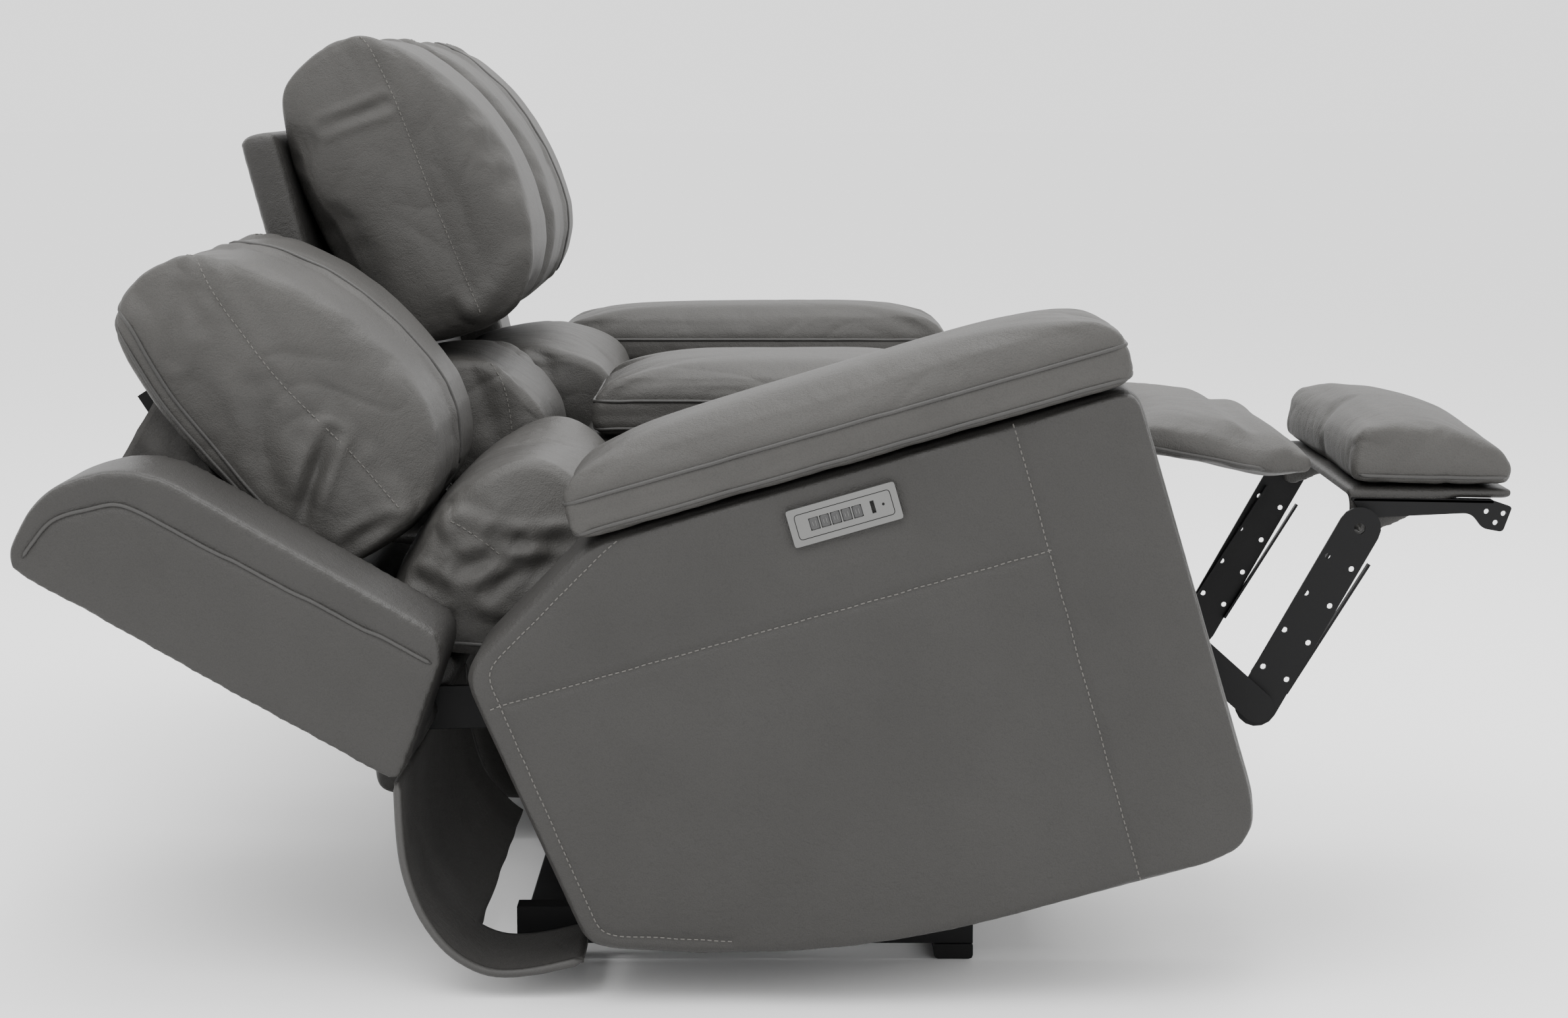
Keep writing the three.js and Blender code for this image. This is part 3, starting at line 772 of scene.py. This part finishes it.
def startPad(seat, part, settings):
    node = f"{seat}_{part}" if seat != "console" else part
    pad = softCopy(node + "_soft", node, settings["voxel"])
    relax(pad.data, 4, 0.5, False)
    toLocal = localMatrix(seat, settings["body"])
    if node == "left_calf_pad":
        local = carried(toLocal, readPoints(pad.data))
        growth = (calfReach["from"] - calfReach["open"]) / (calfReach["from"] - calfReach["shut"])
        below = np.minimum(local[:, 2] - calfReach["from"], 0)
        local[:, 2] += below * (growth - 1)
        writePoints(pad.data, carried(toLocal.inverted(), local))
    if "taper" in settings:
        local = carried(toLocal, readPoints(pad.data))
        begin, reach, amount = settings["taper"]
        share = np.clip((local[:, 1] - begin) / reach, 0, 1.2)
        local[:, 0] *= 1 - amount * share ** 2
        writePoints(pad.data, carried(toLocal.inverted(), local))
    lines = padLines(pad, node, settings, toLocal)
    points = readPoints(pad.data)
    rings = [np.vstack([run, run[:1]]) if closed else run for run, closed, _ in lines]
    near = lineDistance(points, rings)
    normals = readPoints(pad.data, "normal")
    inward = settings["drawIn"] * mm * np.clip(near / (firmEdge * mm), 0, 1)
    writePoints(pad.data, points - normals * inward[:, None])
    held = pad.vertex_groups.new(name="held")
    edge = np.nonzero(near < settings["voxel"] * mm * heldShare)[0]
    held.add([int(index) for index in edge], 1, "REPLACE")
    cloth = pad.modifiers.new("filling", "CLOTH")
    for name, value in filling.items():
        setattr(cloth.settings, name, value)
    cloth.settings.uniform_pressure_force = settings["pressure"]
    cloth.settings.shrink_min = -settings.get("slack", usualSlack)
    cloth.settings.effector_weights.gravity = 0
    cloth.settings.vertex_group_mass = "held"
    cloth.collision_settings.use_collision = False
    cloth.point_cache.frame_end = fillSteps
    return {"seat": seat, "part": part, "node": node, "obj": pad, "rings": rings, "lines": lines,
            "settings": settings, "toLocal": toLocal, "start": readPoints(pad.data)}


pads = []
for seat in (*seats, "console"):
    for part, settings in padSettings.items():
        if part.startswith("console") == (seat == "console"):
            pads.append(startPad(seat, part, settings))
print("pads cut:", len(pads), "points", sum(len(pad["start"]) for pad in pads))

for step in range(1, fillSteps + 1):
    scene.frame_set(step)
print("pads filled")


ridgeShape = {"bend": 0.6, "width": 3.2, "from": 26, "reach": 42, "near": 0.9, "everywhere": 0.25}


def wrinkled(points, normals, local, wrinkle, near):
    # soft ridges in the leather, strongest a little way in from its seams
    heights = np.zeros(len(points))
    offset = wrinkle["seed"] * 7.3
    slow = ridgeShape["bend"]
    for index, (x, y, z) in enumerate(local / np.array(wrinkle["size"])):
        bend = noise.noise((x * slow + offset, y * slow, z * slow))
        heights[index] = abs(noise.noise((x + bend, y + offset + bend, z - bend)))
    ridges = 1 - np.clip(heights * ridgeShape["width"], 0, 1) ** 0.8
    close = np.exp(-((near / mm - ridgeShape["from"]) / ridgeShape["reach"]) ** 2)
    close = close * ridgeShape["near"] + ridgeShape["everywhere"]
    return points - normals * (ridges * close * wrinkle["depth"] * mm)[:, None]


weltRuns = {}       # finished lines as (run, is it closed), by the body they ride on
stitchRuns = {}


def addRun(store, body, run, closed=False):
    store.setdefault(body, []).append((run, closed))


def onSurface(tree, run, lift):
    placed = []
    for point in run:
        hit, normal, _, _ = tree.find_nearest(Vector(point))
        placed.append(np.array(hit + normal * lift))
    return np.array(placed)


crushed = 0.28      # the share of the simulated crumples that stays in the leather
calmRounds = 14     # how far the rest of them is smoothed out


def spread(mesh, field, rounds):
    average = averager(mesh)
    for _ in range(rounds):
        field = (field + average(field)) / 2
    return field


foldShape = {"reach": 6, "endDepth": 0.35, "endLength": 4, "ridgeAt": 2.1, "ridge": 0.45}


def folded(points, normals, run, depth, width):
    # a crease that is deepest halfway along, with a low ridge on each side
    rough = run[::4] if len(run) > 8 else run
    close = np.nonzero(lineDistance(points, [rough]) < width * foldShape["reach"])[0]
    if len(close) == 0:
        return points
    toStart = np.linalg.norm(points[close] - run[0], axis=1)
    toEnd = np.linalg.norm(points[close] - run[-1], axis=1)
    inside = np.clip(np.minimum(toStart, toEnd) / (foldShape["endLength"] * width), 0, 1)
    near = lineDistance(points[close], [run])
    fade = foldShape["endDepth"] + (1 - foldShape["endDepth"]) * inside
    crest = np.exp(-((near - foldShape["ridgeAt"] * width) / width) ** 2)
    shape = -np.exp(-(near / width) ** 2) + foldShape["ridge"] * crest
    points[close] += normals[close] * (depth * fade * shape)[:, None]
    return points


def finishPad(pad):
    obj, settings, seat = pad["obj"], pad["settings"], pad["seat"]
    if obj.modifiers:
        bake(obj)
        moved = readPoints(obj.data) - pad["start"]
        calm = spread(obj.data, moved, calmRounds)
        moved = calm * (1 - crushed) + moved * crushed
        length = np.linalg.norm(moved, axis=1)
        cap = settings["cap"] * mm
        scale = np.where(length > 1e-6, cap * np.tanh(length / cap) / np.maximum(length, 1e-9), 1)
        writePoints(obj.data, pad["start"] + moved * scale[:, None])
        relax(obj.data, 2, 0.4)
    if settings["subdivide"]:
        subdivided(obj)
    points, normals = readPoints(obj.data), readPoints(obj.data, "normal")
    near = lineDistance(points, [thinned(ring, 2) for ring in pad["rings"]])
    toWorld = np.array(pad["toLocal"].inverted())
    local = carried(pad["toLocal"], points)
    points = wrinkled(points, normals, local, settings["wrinkle"], near)
    groove = welt["groove"] * mm * np.exp(-(near / (welt["grooveWidth"] * mm)) ** 2)
    points -= normals * groove[:, None]
    for run, depth, width in settings.get("folds", []):
        crease = carried(toWorld, smoothCorners(run))
        points = folded(points, normals, crease, depth * mm, width * mm)
    writePoints(obj.data, points)
    smoothShaded(obj)
    if seat == "console":
        body = "console_lid_body" if pad["part"] == "console_lid" else "base"
    else:
        body = f"{seat}_{settings['body']}"
    tree = BVHTree.FromObject(obj, bpy.context.evaluated_depsgraph_get())
    for run, closed, isWelt in pad["lines"]:
        even = smoothLine(evenly(run, welt["step"] * mm, closed), 2, closed)
        laid = smoothLine(onSurface(tree, even, 0.4 * mm), 2, closed)
        if closed and not isWelt:
            laid = np.vstack([laid, laid[:1]])
        addRun(weltRuns if isWelt else stitchRuns, body, laid, closed and isWelt)
    # the pads take the leather whose lighter tone is painted light
    fit(obj, softLeatherPaintedLight, body)
    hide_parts(pad["node"])
    if pad["node"] == "left_calf_pad":      # it gets a mesh of its own
        away = spot(seat, "calf", 0, 0, 1) - spot(seat, "calf", 0, 0, 0)
        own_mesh(obj)


for pad in pads:
    finishPad(pad)
print("pads finished")


# boards with leather pulled over them; sizes in millimetres
boardSettings = {"voxel": 6, "puff": 7.0, "puffReach": 50, "seamDepth": 3.4, "seamWidth": 5,
                 "ripple": 1.6, "plateMargin": 34}
plateCentre = (-80, 511)    # forward and up, on the arm of a shut seat
plateBed = (64, 23)         # half of the flat leather that the control plate lies on


def flatness(points, toFlat):
    # 0 where the control plate lies and 1 a little way out from it
    away = np.abs(carried(toFlat, points)[:, 1:] - np.array(plateCentre)) - np.array(plateBed)
    apart = np.linalg.norm(np.maximum(away, 0), axis=1)
    return np.clip(apart / boardSettings["plateMargin"], 0, 1)


def upholster(name, bm, body, seams, replaced, puff=boardSettings["puff"],
              voxel=boardSettings["voxel"], subdivide=False, welted=False, stitched=(),
              toFlat=None):
    obj = linkMesh(name, bm)
    finishMesh(obj)
    voxelSkin(obj, voxel)
    relax(obj.data, 9, 0.5, False)
    if subdivide:
        subdivided(obj)
    points, normals = readPoints(obj.data), readPoints(obj.data, "normal")
    facing = np.clip((np.abs(normals[:, 0]) - 0.6) / 0.3, 0, 1)
    every = [thinned(seam, 3) for seam in (*seams, *stitched)]
    near = lineDistance(points, every) if every else np.full(len(points), 1.0)
    if toFlat:
        facing *= flatness(points, toFlat)
    swell = puff * mm * (1 - np.exp(-near / (boardSettings["puffReach"] * mm))) * facing
    groove = np.exp(-(near / (boardSettings["seamWidth"] * mm)) ** 2)
    groove *= boardSettings["seamDepth"] * mm
    ripple = np.array([
        noise.noise((x * 9, y * 7, z * 7)) + 0.5 * noise.noise((x * 22, y * 18, z * 18))
        for x, y, z in points
    ])
    ripple *= boardSettings["ripple"] * mm * facing
    writePoints(obj.data, points + normals * (swell - groove + ripple)[:, None])
    smoothShaded(obj)
    tree = BVHTree.FromObject(obj, bpy.context.evaluated_depsgraph_get())
    for store, drawn in ((weltRuns if welted else stitchRuns, seams), (stitchRuns, stitched)):
        for seam in drawn:
            run = onSurface(tree, evenly(seam, 6 * mm), 0.2 * mm)
            addRun(store, body, smoothLine(run, 3))
    fit(obj, leather, body)
    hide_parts(replaced)


def cadCopy(node):
    bm = bmesh.new()
    bm.from_mesh(nodes[node].data)
    bmesh.ops.remove_doubles(bm, verts=bm.verts, dist=1e-5)
    return bm


armPanel = {
    "proud": 4, "seamHeight": 410, "seamForward": 124,
    "rear": [(-330, 552), (-508, 452), (-470, 130), (-334, 84)],
}


def buildArm(seat):
    across = layout["armOuter"] + armPanel["proud"]
    height, forward = armPanel["seamHeight"], armPanel["seamForward"]
    seams = [
        line(seat, "seat", [(across, -512, height), (across, forward, height)]),
        line(seat, "seat", [(across, forward, 560), (across, forward, 22)]),
        smoothLine(line(seat, "seat", [(across, *point) for point in armPanel["rear"]]), 8),
    ]
    upholster(f"{seat}_arm_leather", cadCopy(f"{seat}_arm_panel"), f"{seat}_seat", seams,
              f"{seat}_arm_panel", subdivide=True, toFlat=localMatrix(seat, "seat"))


backShape = {
    "wing": [(0, 0, 14), (70, 10, 20), (172, 28, 30), (176, 430, 60), (92, 506, 40), (0, 502, 24)],
    "panel": [(0, 0, 10), (56, 0, 10), (56, 502, 14), (0, 502, 14)],
    "filling": [(50, 2, 6), (112, 2, 12), (112, 160, 30), (64, 204, 12), (50, 204, 6)],
    "wingAcross": (301, 460), "panelAcross": (-280, 331), "fillingAcross": (-244, 244),
    "rearSeams": (-40, 230), "yoke": 402,
    "band": [(138, 34), (132, 250), (128, 420), (74, 478), (20, 484)],
}


def buildBack(seat):
    bm = bmesh.new()
    for board in ("wing", "panel", "filling"):
        slab(bm, seat, "back", rounded(backShape[board]), backShape[board + "Across"])
    across = backShape["wingAcross"][1] + 3
    seams = [smoothLine(line(seat, "back", [(across, *point) for point in backShape["band"]]), 10)]
    rear = [
        line(seat, "back", [(across, -3, 14), (across, -3, 492)])
        for across in backShape["rearSeams"]
    ]
    rear.append(line(seat, "back", [(-268, -3, backShape["yoke"]), (448, -3, backShape["yoke"])]))
    upholster(f"{seat}_back_leather", bm, f"{seat}_back", seams, f"{seat}_back_frame",
              subdivide=True, welted=True, stitched=rear)


backSteel = {
    "leg": [(134, -189), (170, -199), (172, -155), (48, 60), (10, 60), (20, 4)],
    "legAcross": (250, 256), "radius": 5, "bevel": 0.8,
    "ear": [(40, 212), (162, 212), (162, 248), (40, 248)],
    "earAcross": (279.5, 284),
}


def buildBackSteel(seat):
    # the pressed legs that the back turns on, and the ears that carry the headrest
    bm = bmesh.new()
    for hand in (-1, 1):
        for part in ("leg", "ear"):
            corners = [(*corner, backSteel["radius"]) for corner in backSteel[part]]
            across = [hand * level for level in backSteel[part + "Across"]]
            slab(bm, seat, "back", rounded(corners), across)
    obj = finishMesh(linkMesh(f"{seat}_back_steel", bm), False)
    bevelled(obj, backSteel["bevel"])
    fit(obj, blackSteel, f"{seat}_back")


for seat in seats:
    buildArm(seat)
    buildBack(seat)
    buildBackSteel(seat)
    upholster(f"{seat}_ottoman_cover", cadCopy(f"{seat}_ottoman_board"), f"{seat}_ottoman", [],
              f"{seat}_ottoman_board", puff=1, voxel=4)
upholster("console_leather", cadCopy("console_body"), "base", [], "console_body", puff=3)
upholster("console_back_leather", cadCopy("console_back_panel"), "base", [],
          "console_back_panel", puff=3)
print("boards covered")


# forward and up along each seat's rear flap, from the base to the back
flapShape = {
    "left": [
        (-503, 99), (-560, 101), (-609, 111), (-646, 148), (-664, 200), (-666, 258), (-656, 306),
        (-644, 352),
    ],
    "right": [(-492, 106), (-520, 180), (-548, 262), (-572, 340), (-590, 410), (-600, 472)],
    "across": (-276, 452), "cell": 9, "thickness": 6, "ripple": 3.5, "weltRadius": 5,
    "notchHalf": 297, "notchTop": 130,     # cut away round the inner rail
}


def buildFlap(seat):
    # a single sheet of lining leather from the base up to the foot of the back
    across, cell = flapShape["across"], flapShape["cell"]
    route = evenly(np.array([(0, forward, up) for forward, up in flapShape[seat]], float), cell)
    route = smoothLine(route, 8)
    columns = round((across[1] - across[0]) / cell)
    bm = bmesh.new()
    grid = []
    for _, forward, up in route:
        row = []
        for column in range(columns + 1):
            level = across[0] + (across[1] - across[0]) * column / columns
            ripple = noise.noise((level * 0.011, up * 0.016, 5.0 + seats[seat]))
            place = spot(seat, "seat", level, forward + flapShape["ripple"] * ripple, up)
            row.append((level, up, bm.verts.new(place)))
        grid.append(row)
    for low, high in zip(grid[:-1], grid[1:]):
        for column in range(columns):
            level, up, _ = low[column]
            if up < flapShape["notchTop"] and level < flapShape["notchHalf"]:
                continue
            corners = (low[column], low[column + 1], high[column + 1], high[column])
            bm.faces.new([corner[2] for corner in corners])
    loose = [vert for vert in bm.verts if not vert.link_faces]
    bmesh.ops.delete(bm, geom=loose, context="VERTS")
    obj = finishMesh(linkMesh(f"{seat}_flap_leather", bm))
    wall = obj.modifiers.new("wall", "SOLIDIFY")
    wall.thickness = flapShape["thickness"] * mm
    wall.offset = 0
    bake(obj)
    # the lining's raised tone is painted light on the shaded flap
    fit(obj, liningLeatherPaintedLight)
    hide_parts(f"{seat}_rear_flap")
    flapTurn(seat)
    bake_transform(obj)


def flapTurn(seat):
    # where the flap starts to follow the back, and where it has joined it
    return spot(seat, "seat", 0, -560, 210), spot(seat, "back", 0, 0, 6)


def buildFlapWelts(seat):
    bm = bmesh.new()
    for across in flapShape["across"]:
        points = [spot(seat, "seat", across, *point) for point in flapShape[seat]
                  if across > 0 or point[1] > flapShape["notchTop"]]
        run = smoothLine(evenly(np.array(points), 9 * mm), 8)
        sweep(bm, run, flapShape["weltRadius"] * mm)
    obj = finishMesh(linkMesh(f"{seat}_flap_welt", bm))
    fit(obj, weltLeather)
    flapTurn(seat)
    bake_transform(obj)


for seat in seats:
    buildFlap(seat)
    buildFlapWelts(seat)
print("flaps made")


bellows = {
    "half": 236, "foot": 236, "top": 470, "pleats": 6, "pleatDepth": 9,
    "board": 60, "headRear": 96, "rows": 30, "columns": 12, "ripple": 4, "blendAt": 360,
}


def buildBellows(seat):
    # a pleated lining that fills the wedge between the back and the headrest
    rows, columns, half = bellows["rows"], bellows["columns"], bellows["half"]
    bm = bmesh.new()
    sheets = []
    for hand in (-1, 1):
        grid = []
        for row in range(rows + 1):
            height = bellows["foot"] + (bellows["top"] - bellows["foot"]) * row / rows
            rear = spot(seat, "back", hand * half, bellows["board"], height)
            front = spot(seat, "head", hand * half, bellows["headRear"], height)
            cells = []
            for column in range(columns + 1):
                share = column / columns
                tuck = abs(math.sin(math.pi * bellows["pleats"] / 2 * share))
                tuck *= bellows["pleatDepth"]
                tuck += bellows["ripple"] * noise.noise((row * 0.3, share * 3, 4.0))
                point = rear.lerp(front, share)
                point.x -= hand * seats[seat] * tuck * mm
                cells.append(bm.verts.new(point))
            grid.append(cells)
        sheets.append(grid)
    first, second = sheets
    for grid in sheets:
        fillRows(bm, grid)
    for row in (0, rows):
        fillRows(bm, [first[row], second[row]])
    for column in (0, columns):
        fillRows(bm, [[cells[column] for cells in grid] for grid in sheets])
    obj = finishMesh(linkMesh(f"{seat}_headrest_bellows", bm))
    fit(obj, liningLeatherPaintedLight)
    start = spot(seat, "back", 0, bellows["board"] + 2, bellows["blendAt"])
    end = spot(seat, "head", 0, bellows["headRear"], bellows["blendAt"])
    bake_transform(obj)


for seat in seats:
    buildBellows(seat)
print("bellows pleated")


plateShape = {
    "face": 496.7, "half": (54, 14), "corner": 4, "line": 0.45, "light": 1.5, "lightAt": 44,
    "buttons": 5, "first": -34, "pitch": 12.2, "markLine": 0.42, "markProud": 0.95,
    "marks": ((-1.6, 2.6), (1.6, 3.6)),     # offset from the button's middle, half height
}


def buildPlateMarks(seat):
    # a fine engraved frame, a plain mark on each button and a light
    middle, height = plateCentre
    wide, tall = plateShape["half"]
    face = plateShape["face"]
    bm = bmesh.new()
    border = rounded([
        (middle + wide * ahead, height + tall * above, plateShape["corner"])
        for ahead, above in ((-1, -1), (1, -1), (1, 1), (-1, 1))
    ])
    run = np.array([spot(seat, "seat", face - 0.3, *point) for point in border])
    sweep(bm, evenly(run, 2 * mm, True), plateShape["line"] * mm, True, 6)
    lightAt = (middle + plateShape["lightAt"], height)
    light = [spot(seat, "seat", face + rise, *lightAt) for rise in (-0.6, 0.1, 0.5)]
    sweep(bm, light, plateShape["light"] * mm, False, 10)
    obj = finishMesh(linkMesh(f"{seat}_plate_marks", bm))
    fit(obj, blackPlastic, f"{seat}_seat")
    for index in range(plateShape["buttons"]):
        forward = middle + plateShape["first"] + index * plateShape["pitch"]
        bm = bmesh.new()
        across = face + plateShape["markProud"]
        for offset, reach in plateShape["marks"]:
            mark = [spot(seat, "seat", across, forward + offset, height + reach * share)
                    for share in (-1, -0.5, 0, 0.5, 1)]
            sweep(bm, mark, plateShape["markLine"] * mm, False, 6)
        obj = finishMesh(linkMesh(f"{seat}_button_{index + 1}_mark", bm))
        fit(obj, satinMetal, f"{seat}_button_{index + 1}_body")


bracket = {
    "plateAcross": (241, 246), "lipAcross": (228, 246),
    "plate": [
        (183, 262, 6), (183, 96, 4), (176, 74, 4), (146, 84, 5), (150, 108, 6), (168, 122, 10),
        (160, 248, 8),
    ],
    "lip": [(183.5, 262, 1), (183.5, 96, 1), (180, 96, 1), (180, 262, 1)],
    "holes": [(168, 84), (157, 93), (170, 104)], "holeRadius": 3.2, "drillAcross": (-260, 260),
    "bevel": 0.6,
}


def buildBracket(seat):
    # the pressed rail under the footrest board, with a three cornered end plate
    bm = bmesh.new()
    for hand in (-1, 1):
        for part in ("plate", "lip"):
            across = [hand * level for level in bracket[part + "Across"]]
            slab(bm, seat, "ottoman", rounded(bracket[part]), across)
    obj = finishMesh(linkMesh(f"{seat}_footrest_bracket", bm), False)
    bm = bmesh.new()
    radius = bracket["holeRadius"]
    for forward, up in bracket["holes"]:
        angles = [turn * math.pi / 6 for turn in range(12)]
        hole = [(forward + radius * math.cos(angle), up + radius * math.sin(angle))
                for angle in angles]
        slab(bm, seat, "ottoman", hole, bracket["drillAcross"])
    drill = finishMesh(linkMesh("drill", bm), False)
    cut = obj.modifiers.new("holes", "BOOLEAN")
    cut.operation = "DIFFERENCE"
    cut.solver = "EXACT"
    cut.object = drill
    bake(obj)
    bpy.data.objects.remove(drill)
    bevelled(obj, bracket["bevel"])
    fit(obj, blackSteel, f"{seat}_ottoman")


for seat in seats:
    buildPlateMarks(seat)
    buildBracket(seat)
print("plates and brackets fitted")


def buildWelts(body, runs):
    bm = bmesh.new()
    for run, closed in runs:
        sweep(bm, run, welt["radius"] * mm, closed, welt["sides"])
    obj = finishMesh(linkMesh(f"{body}_welts", bm))
    fit(obj, weltLeather, body)


stitch = {"pitch": 7.5, "length": 4.6, "thickness": 0.85}     # thickness is a radius


def stitchTree():
    # stitches laid end to end along every seam line
    tree = bpy.data.node_groups.new("seamStitches", "GeometryNodeTree")
    tree.interface.new_socket("Geometry", in_out="INPUT", socket_type="NodeSocketGeometry")
    for label in ("Pitch", "Length", "Thickness"):
        tree.interface.new_socket(label, in_out="INPUT", socket_type="NodeSocketFloat")
    tree.interface.new_socket("Thread", in_out="INPUT", socket_type="NodeSocketMaterial")
    tree.interface.new_socket("Geometry", in_out="OUTPUT", socket_type="NodeSocketGeometry")
    given = tree.nodes.new("NodeGroupInput")
    made = tree.nodes.new("NodeGroupOutput")
    toCurve = tree.nodes.new("GeometryNodeMeshToCurve")
    spaced = tree.nodes.new("GeometryNodeResampleCurve")
    spaced.mode = "LENGTH"
    tangent = tree.nodes.new("GeometryNodeInputTangent")
    turn = tree.nodes.new("FunctionNodeAlignRotationToVector")
    turn.axis = "Z"
    thread = tree.nodes.new("GeometryNodeMeshCylinder")
    thread.inputs["Vertices"].default_value = 6
    placed = tree.nodes.new("GeometryNodeInstanceOnPoints")
    real = tree.nodes.new("GeometryNodeRealizeInstances")
    coloured = tree.nodes.new("GeometryNodeSetMaterial")
    link = tree.links.new
    link(given.outputs["Geometry"], toCurve.inputs["Mesh"])
    link(toCurve.outputs["Curve"], spaced.inputs["Curve"])
    link(given.outputs["Pitch"], spaced.inputs["Length"])
    link(tangent.outputs["Tangent"], turn.inputs["Vector"])
    link(given.outputs["Thickness"], thread.inputs["Radius"])
    link(given.outputs["Length"], thread.inputs["Depth"])
    link(spaced.outputs["Curve"], placed.inputs["Points"])
    link(thread.outputs["Mesh"], placed.inputs["Instance"])
    link(turn.outputs["Rotation"], placed.inputs["Rotation"])
    link(placed.outputs["Instances"], real.inputs["Geometry"])
    link(real.outputs["Geometry"], coloured.inputs["Geometry"])
    link(given.outputs["Thread"], coloured.inputs["Material"])
    link(coloured.outputs["Geometry"], made.inputs["Geometry"])
    return tree


stitchNodes = stitchTree()


def buildStitches(body, runs):
    bm = bmesh.new()
    for run, _ in runs:
        verts = [bm.verts.new(point) for point in run]
        for first, second in zip(verts[:-1], verts[1:]):
            bm.edges.new((first, second))
    obj = linkMesh(f"{body}_stitches", bm)
    laid = obj.modifiers.new("stitches", "NODES")
    laid.node_group = stitchNodes
    values = {"Pitch": stitch["pitch"] * mm, "Length": stitch["length"] * mm,
              "Thickness": stitch["thickness"] * mm, "Thread": threadFinish}
    for item in stitchNodes.interface.items_tree:
        if item.in_out == "INPUT" and item.name in values:
            laid[item.identifier] = values[item.name]
    bake(obj)
    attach(obj, body)


for body, runs in weltRuns.items():
    buildWelts(body, runs)
for body, runs in stitchRuns.items():
    buildStitches(body, runs)
print("welts and stitches sewn")


studio = {
    "floorSize": 60, "floorTone": 0.86, "floorRough": 0.85, "aim": (0, 0, 0.5),
    "sky": 1.9, "seenSky": 1.68,    # what lights the object, and what the camera sees
    "key": {"at": (-3.2, 1.2, 4.4), "power": 150, "size": 3.0},
    "fill": {"at": (-4.5, -2.8, 2.2), "power": 40, "size": 3.2},
    "top": {"at": (0.6, -0.6, 4.6), "power": 190, "size": 3.6},
}


def buildStage():
    bm = bmesh.new()
    bmesh.ops.create_grid(bm, x_segments=2, y_segments=2, size=studio["floorSize"])
    floor = linkMesh("studioFloor", bm)
    pale = bpy.data.materials.new("paleFloor")
    pale.use_nodes = True
    shader = pale.node_tree.nodes["Principled BSDF"]
    shader.inputs["Base Color"].default_value = (*[studio["floorTone"]] * 3, 1)
    shader.inputs["Roughness"].default_value = studio["floorRough"]
    floor.data.materials.append(pale)
    floor.location.z = -0.5 * mm
    world = bpy.data.worlds.new("studio")
    world.use_nodes = True
    tree = world.node_tree
    sky = tree.nodes["Background"]
    sky.inputs["Color"].default_value = (1, 1, 1, 1)
    rays = tree.nodes.new("ShaderNodeLightPath")
    bright = tree.nodes.new("ShaderNodeMapRange")
    bright.inputs["To Min"].default_value = studio["sky"]
    bright.inputs["To Max"].default_value = studio["seenSky"]
    tree.links.new(rays.outputs["Is Camera Ray"], bright.inputs["Value"])
    tree.links.new(bright.outputs["Result"], sky.inputs["Strength"])
    scene.world = world
    for name in ("key", "fill", "top"):
        lamp = bpy.data.lights.new(name, "AREA")
        lamp.energy = studio[name]["power"]
        lamp.size = studio[name]["size"]
        holder = bpy.data.objects.new(name, lamp)
        holder.location = studio[name]["at"]
        aim = Vector(studio["aim"]) - holder.location
        holder.rotation_euler = aim.to_track_quat("-Z", "Y").to_euler()
        scene.collection.objects.link(holder)


view = {    # a long lens from beside the reclined seat, a little above it
    "at": (-4.295, -0.0024, 1.0289), "down": 7.926, "lens": 70.94, "sensor": 36,
    "nearest": 0.05, "furthest": 60,
}


def buildCamera():
    lens = bpy.data.cameras.new("camera")
    lens.lens = view["lens"]
    lens.sensor_width = view["sensor"]
    lens.clip_start = view["nearest"]
    lens.clip_end = view["furthest"]
    camera = bpy.data.objects.new("camera", lens)
    camera.location = view["at"]
    camera.rotation_euler = (math.radians(90 - view["down"]), 0, math.radians(-90))
    scene.collection.objects.link(camera)
    scene.camera = camera


buildStage()
buildCamera()
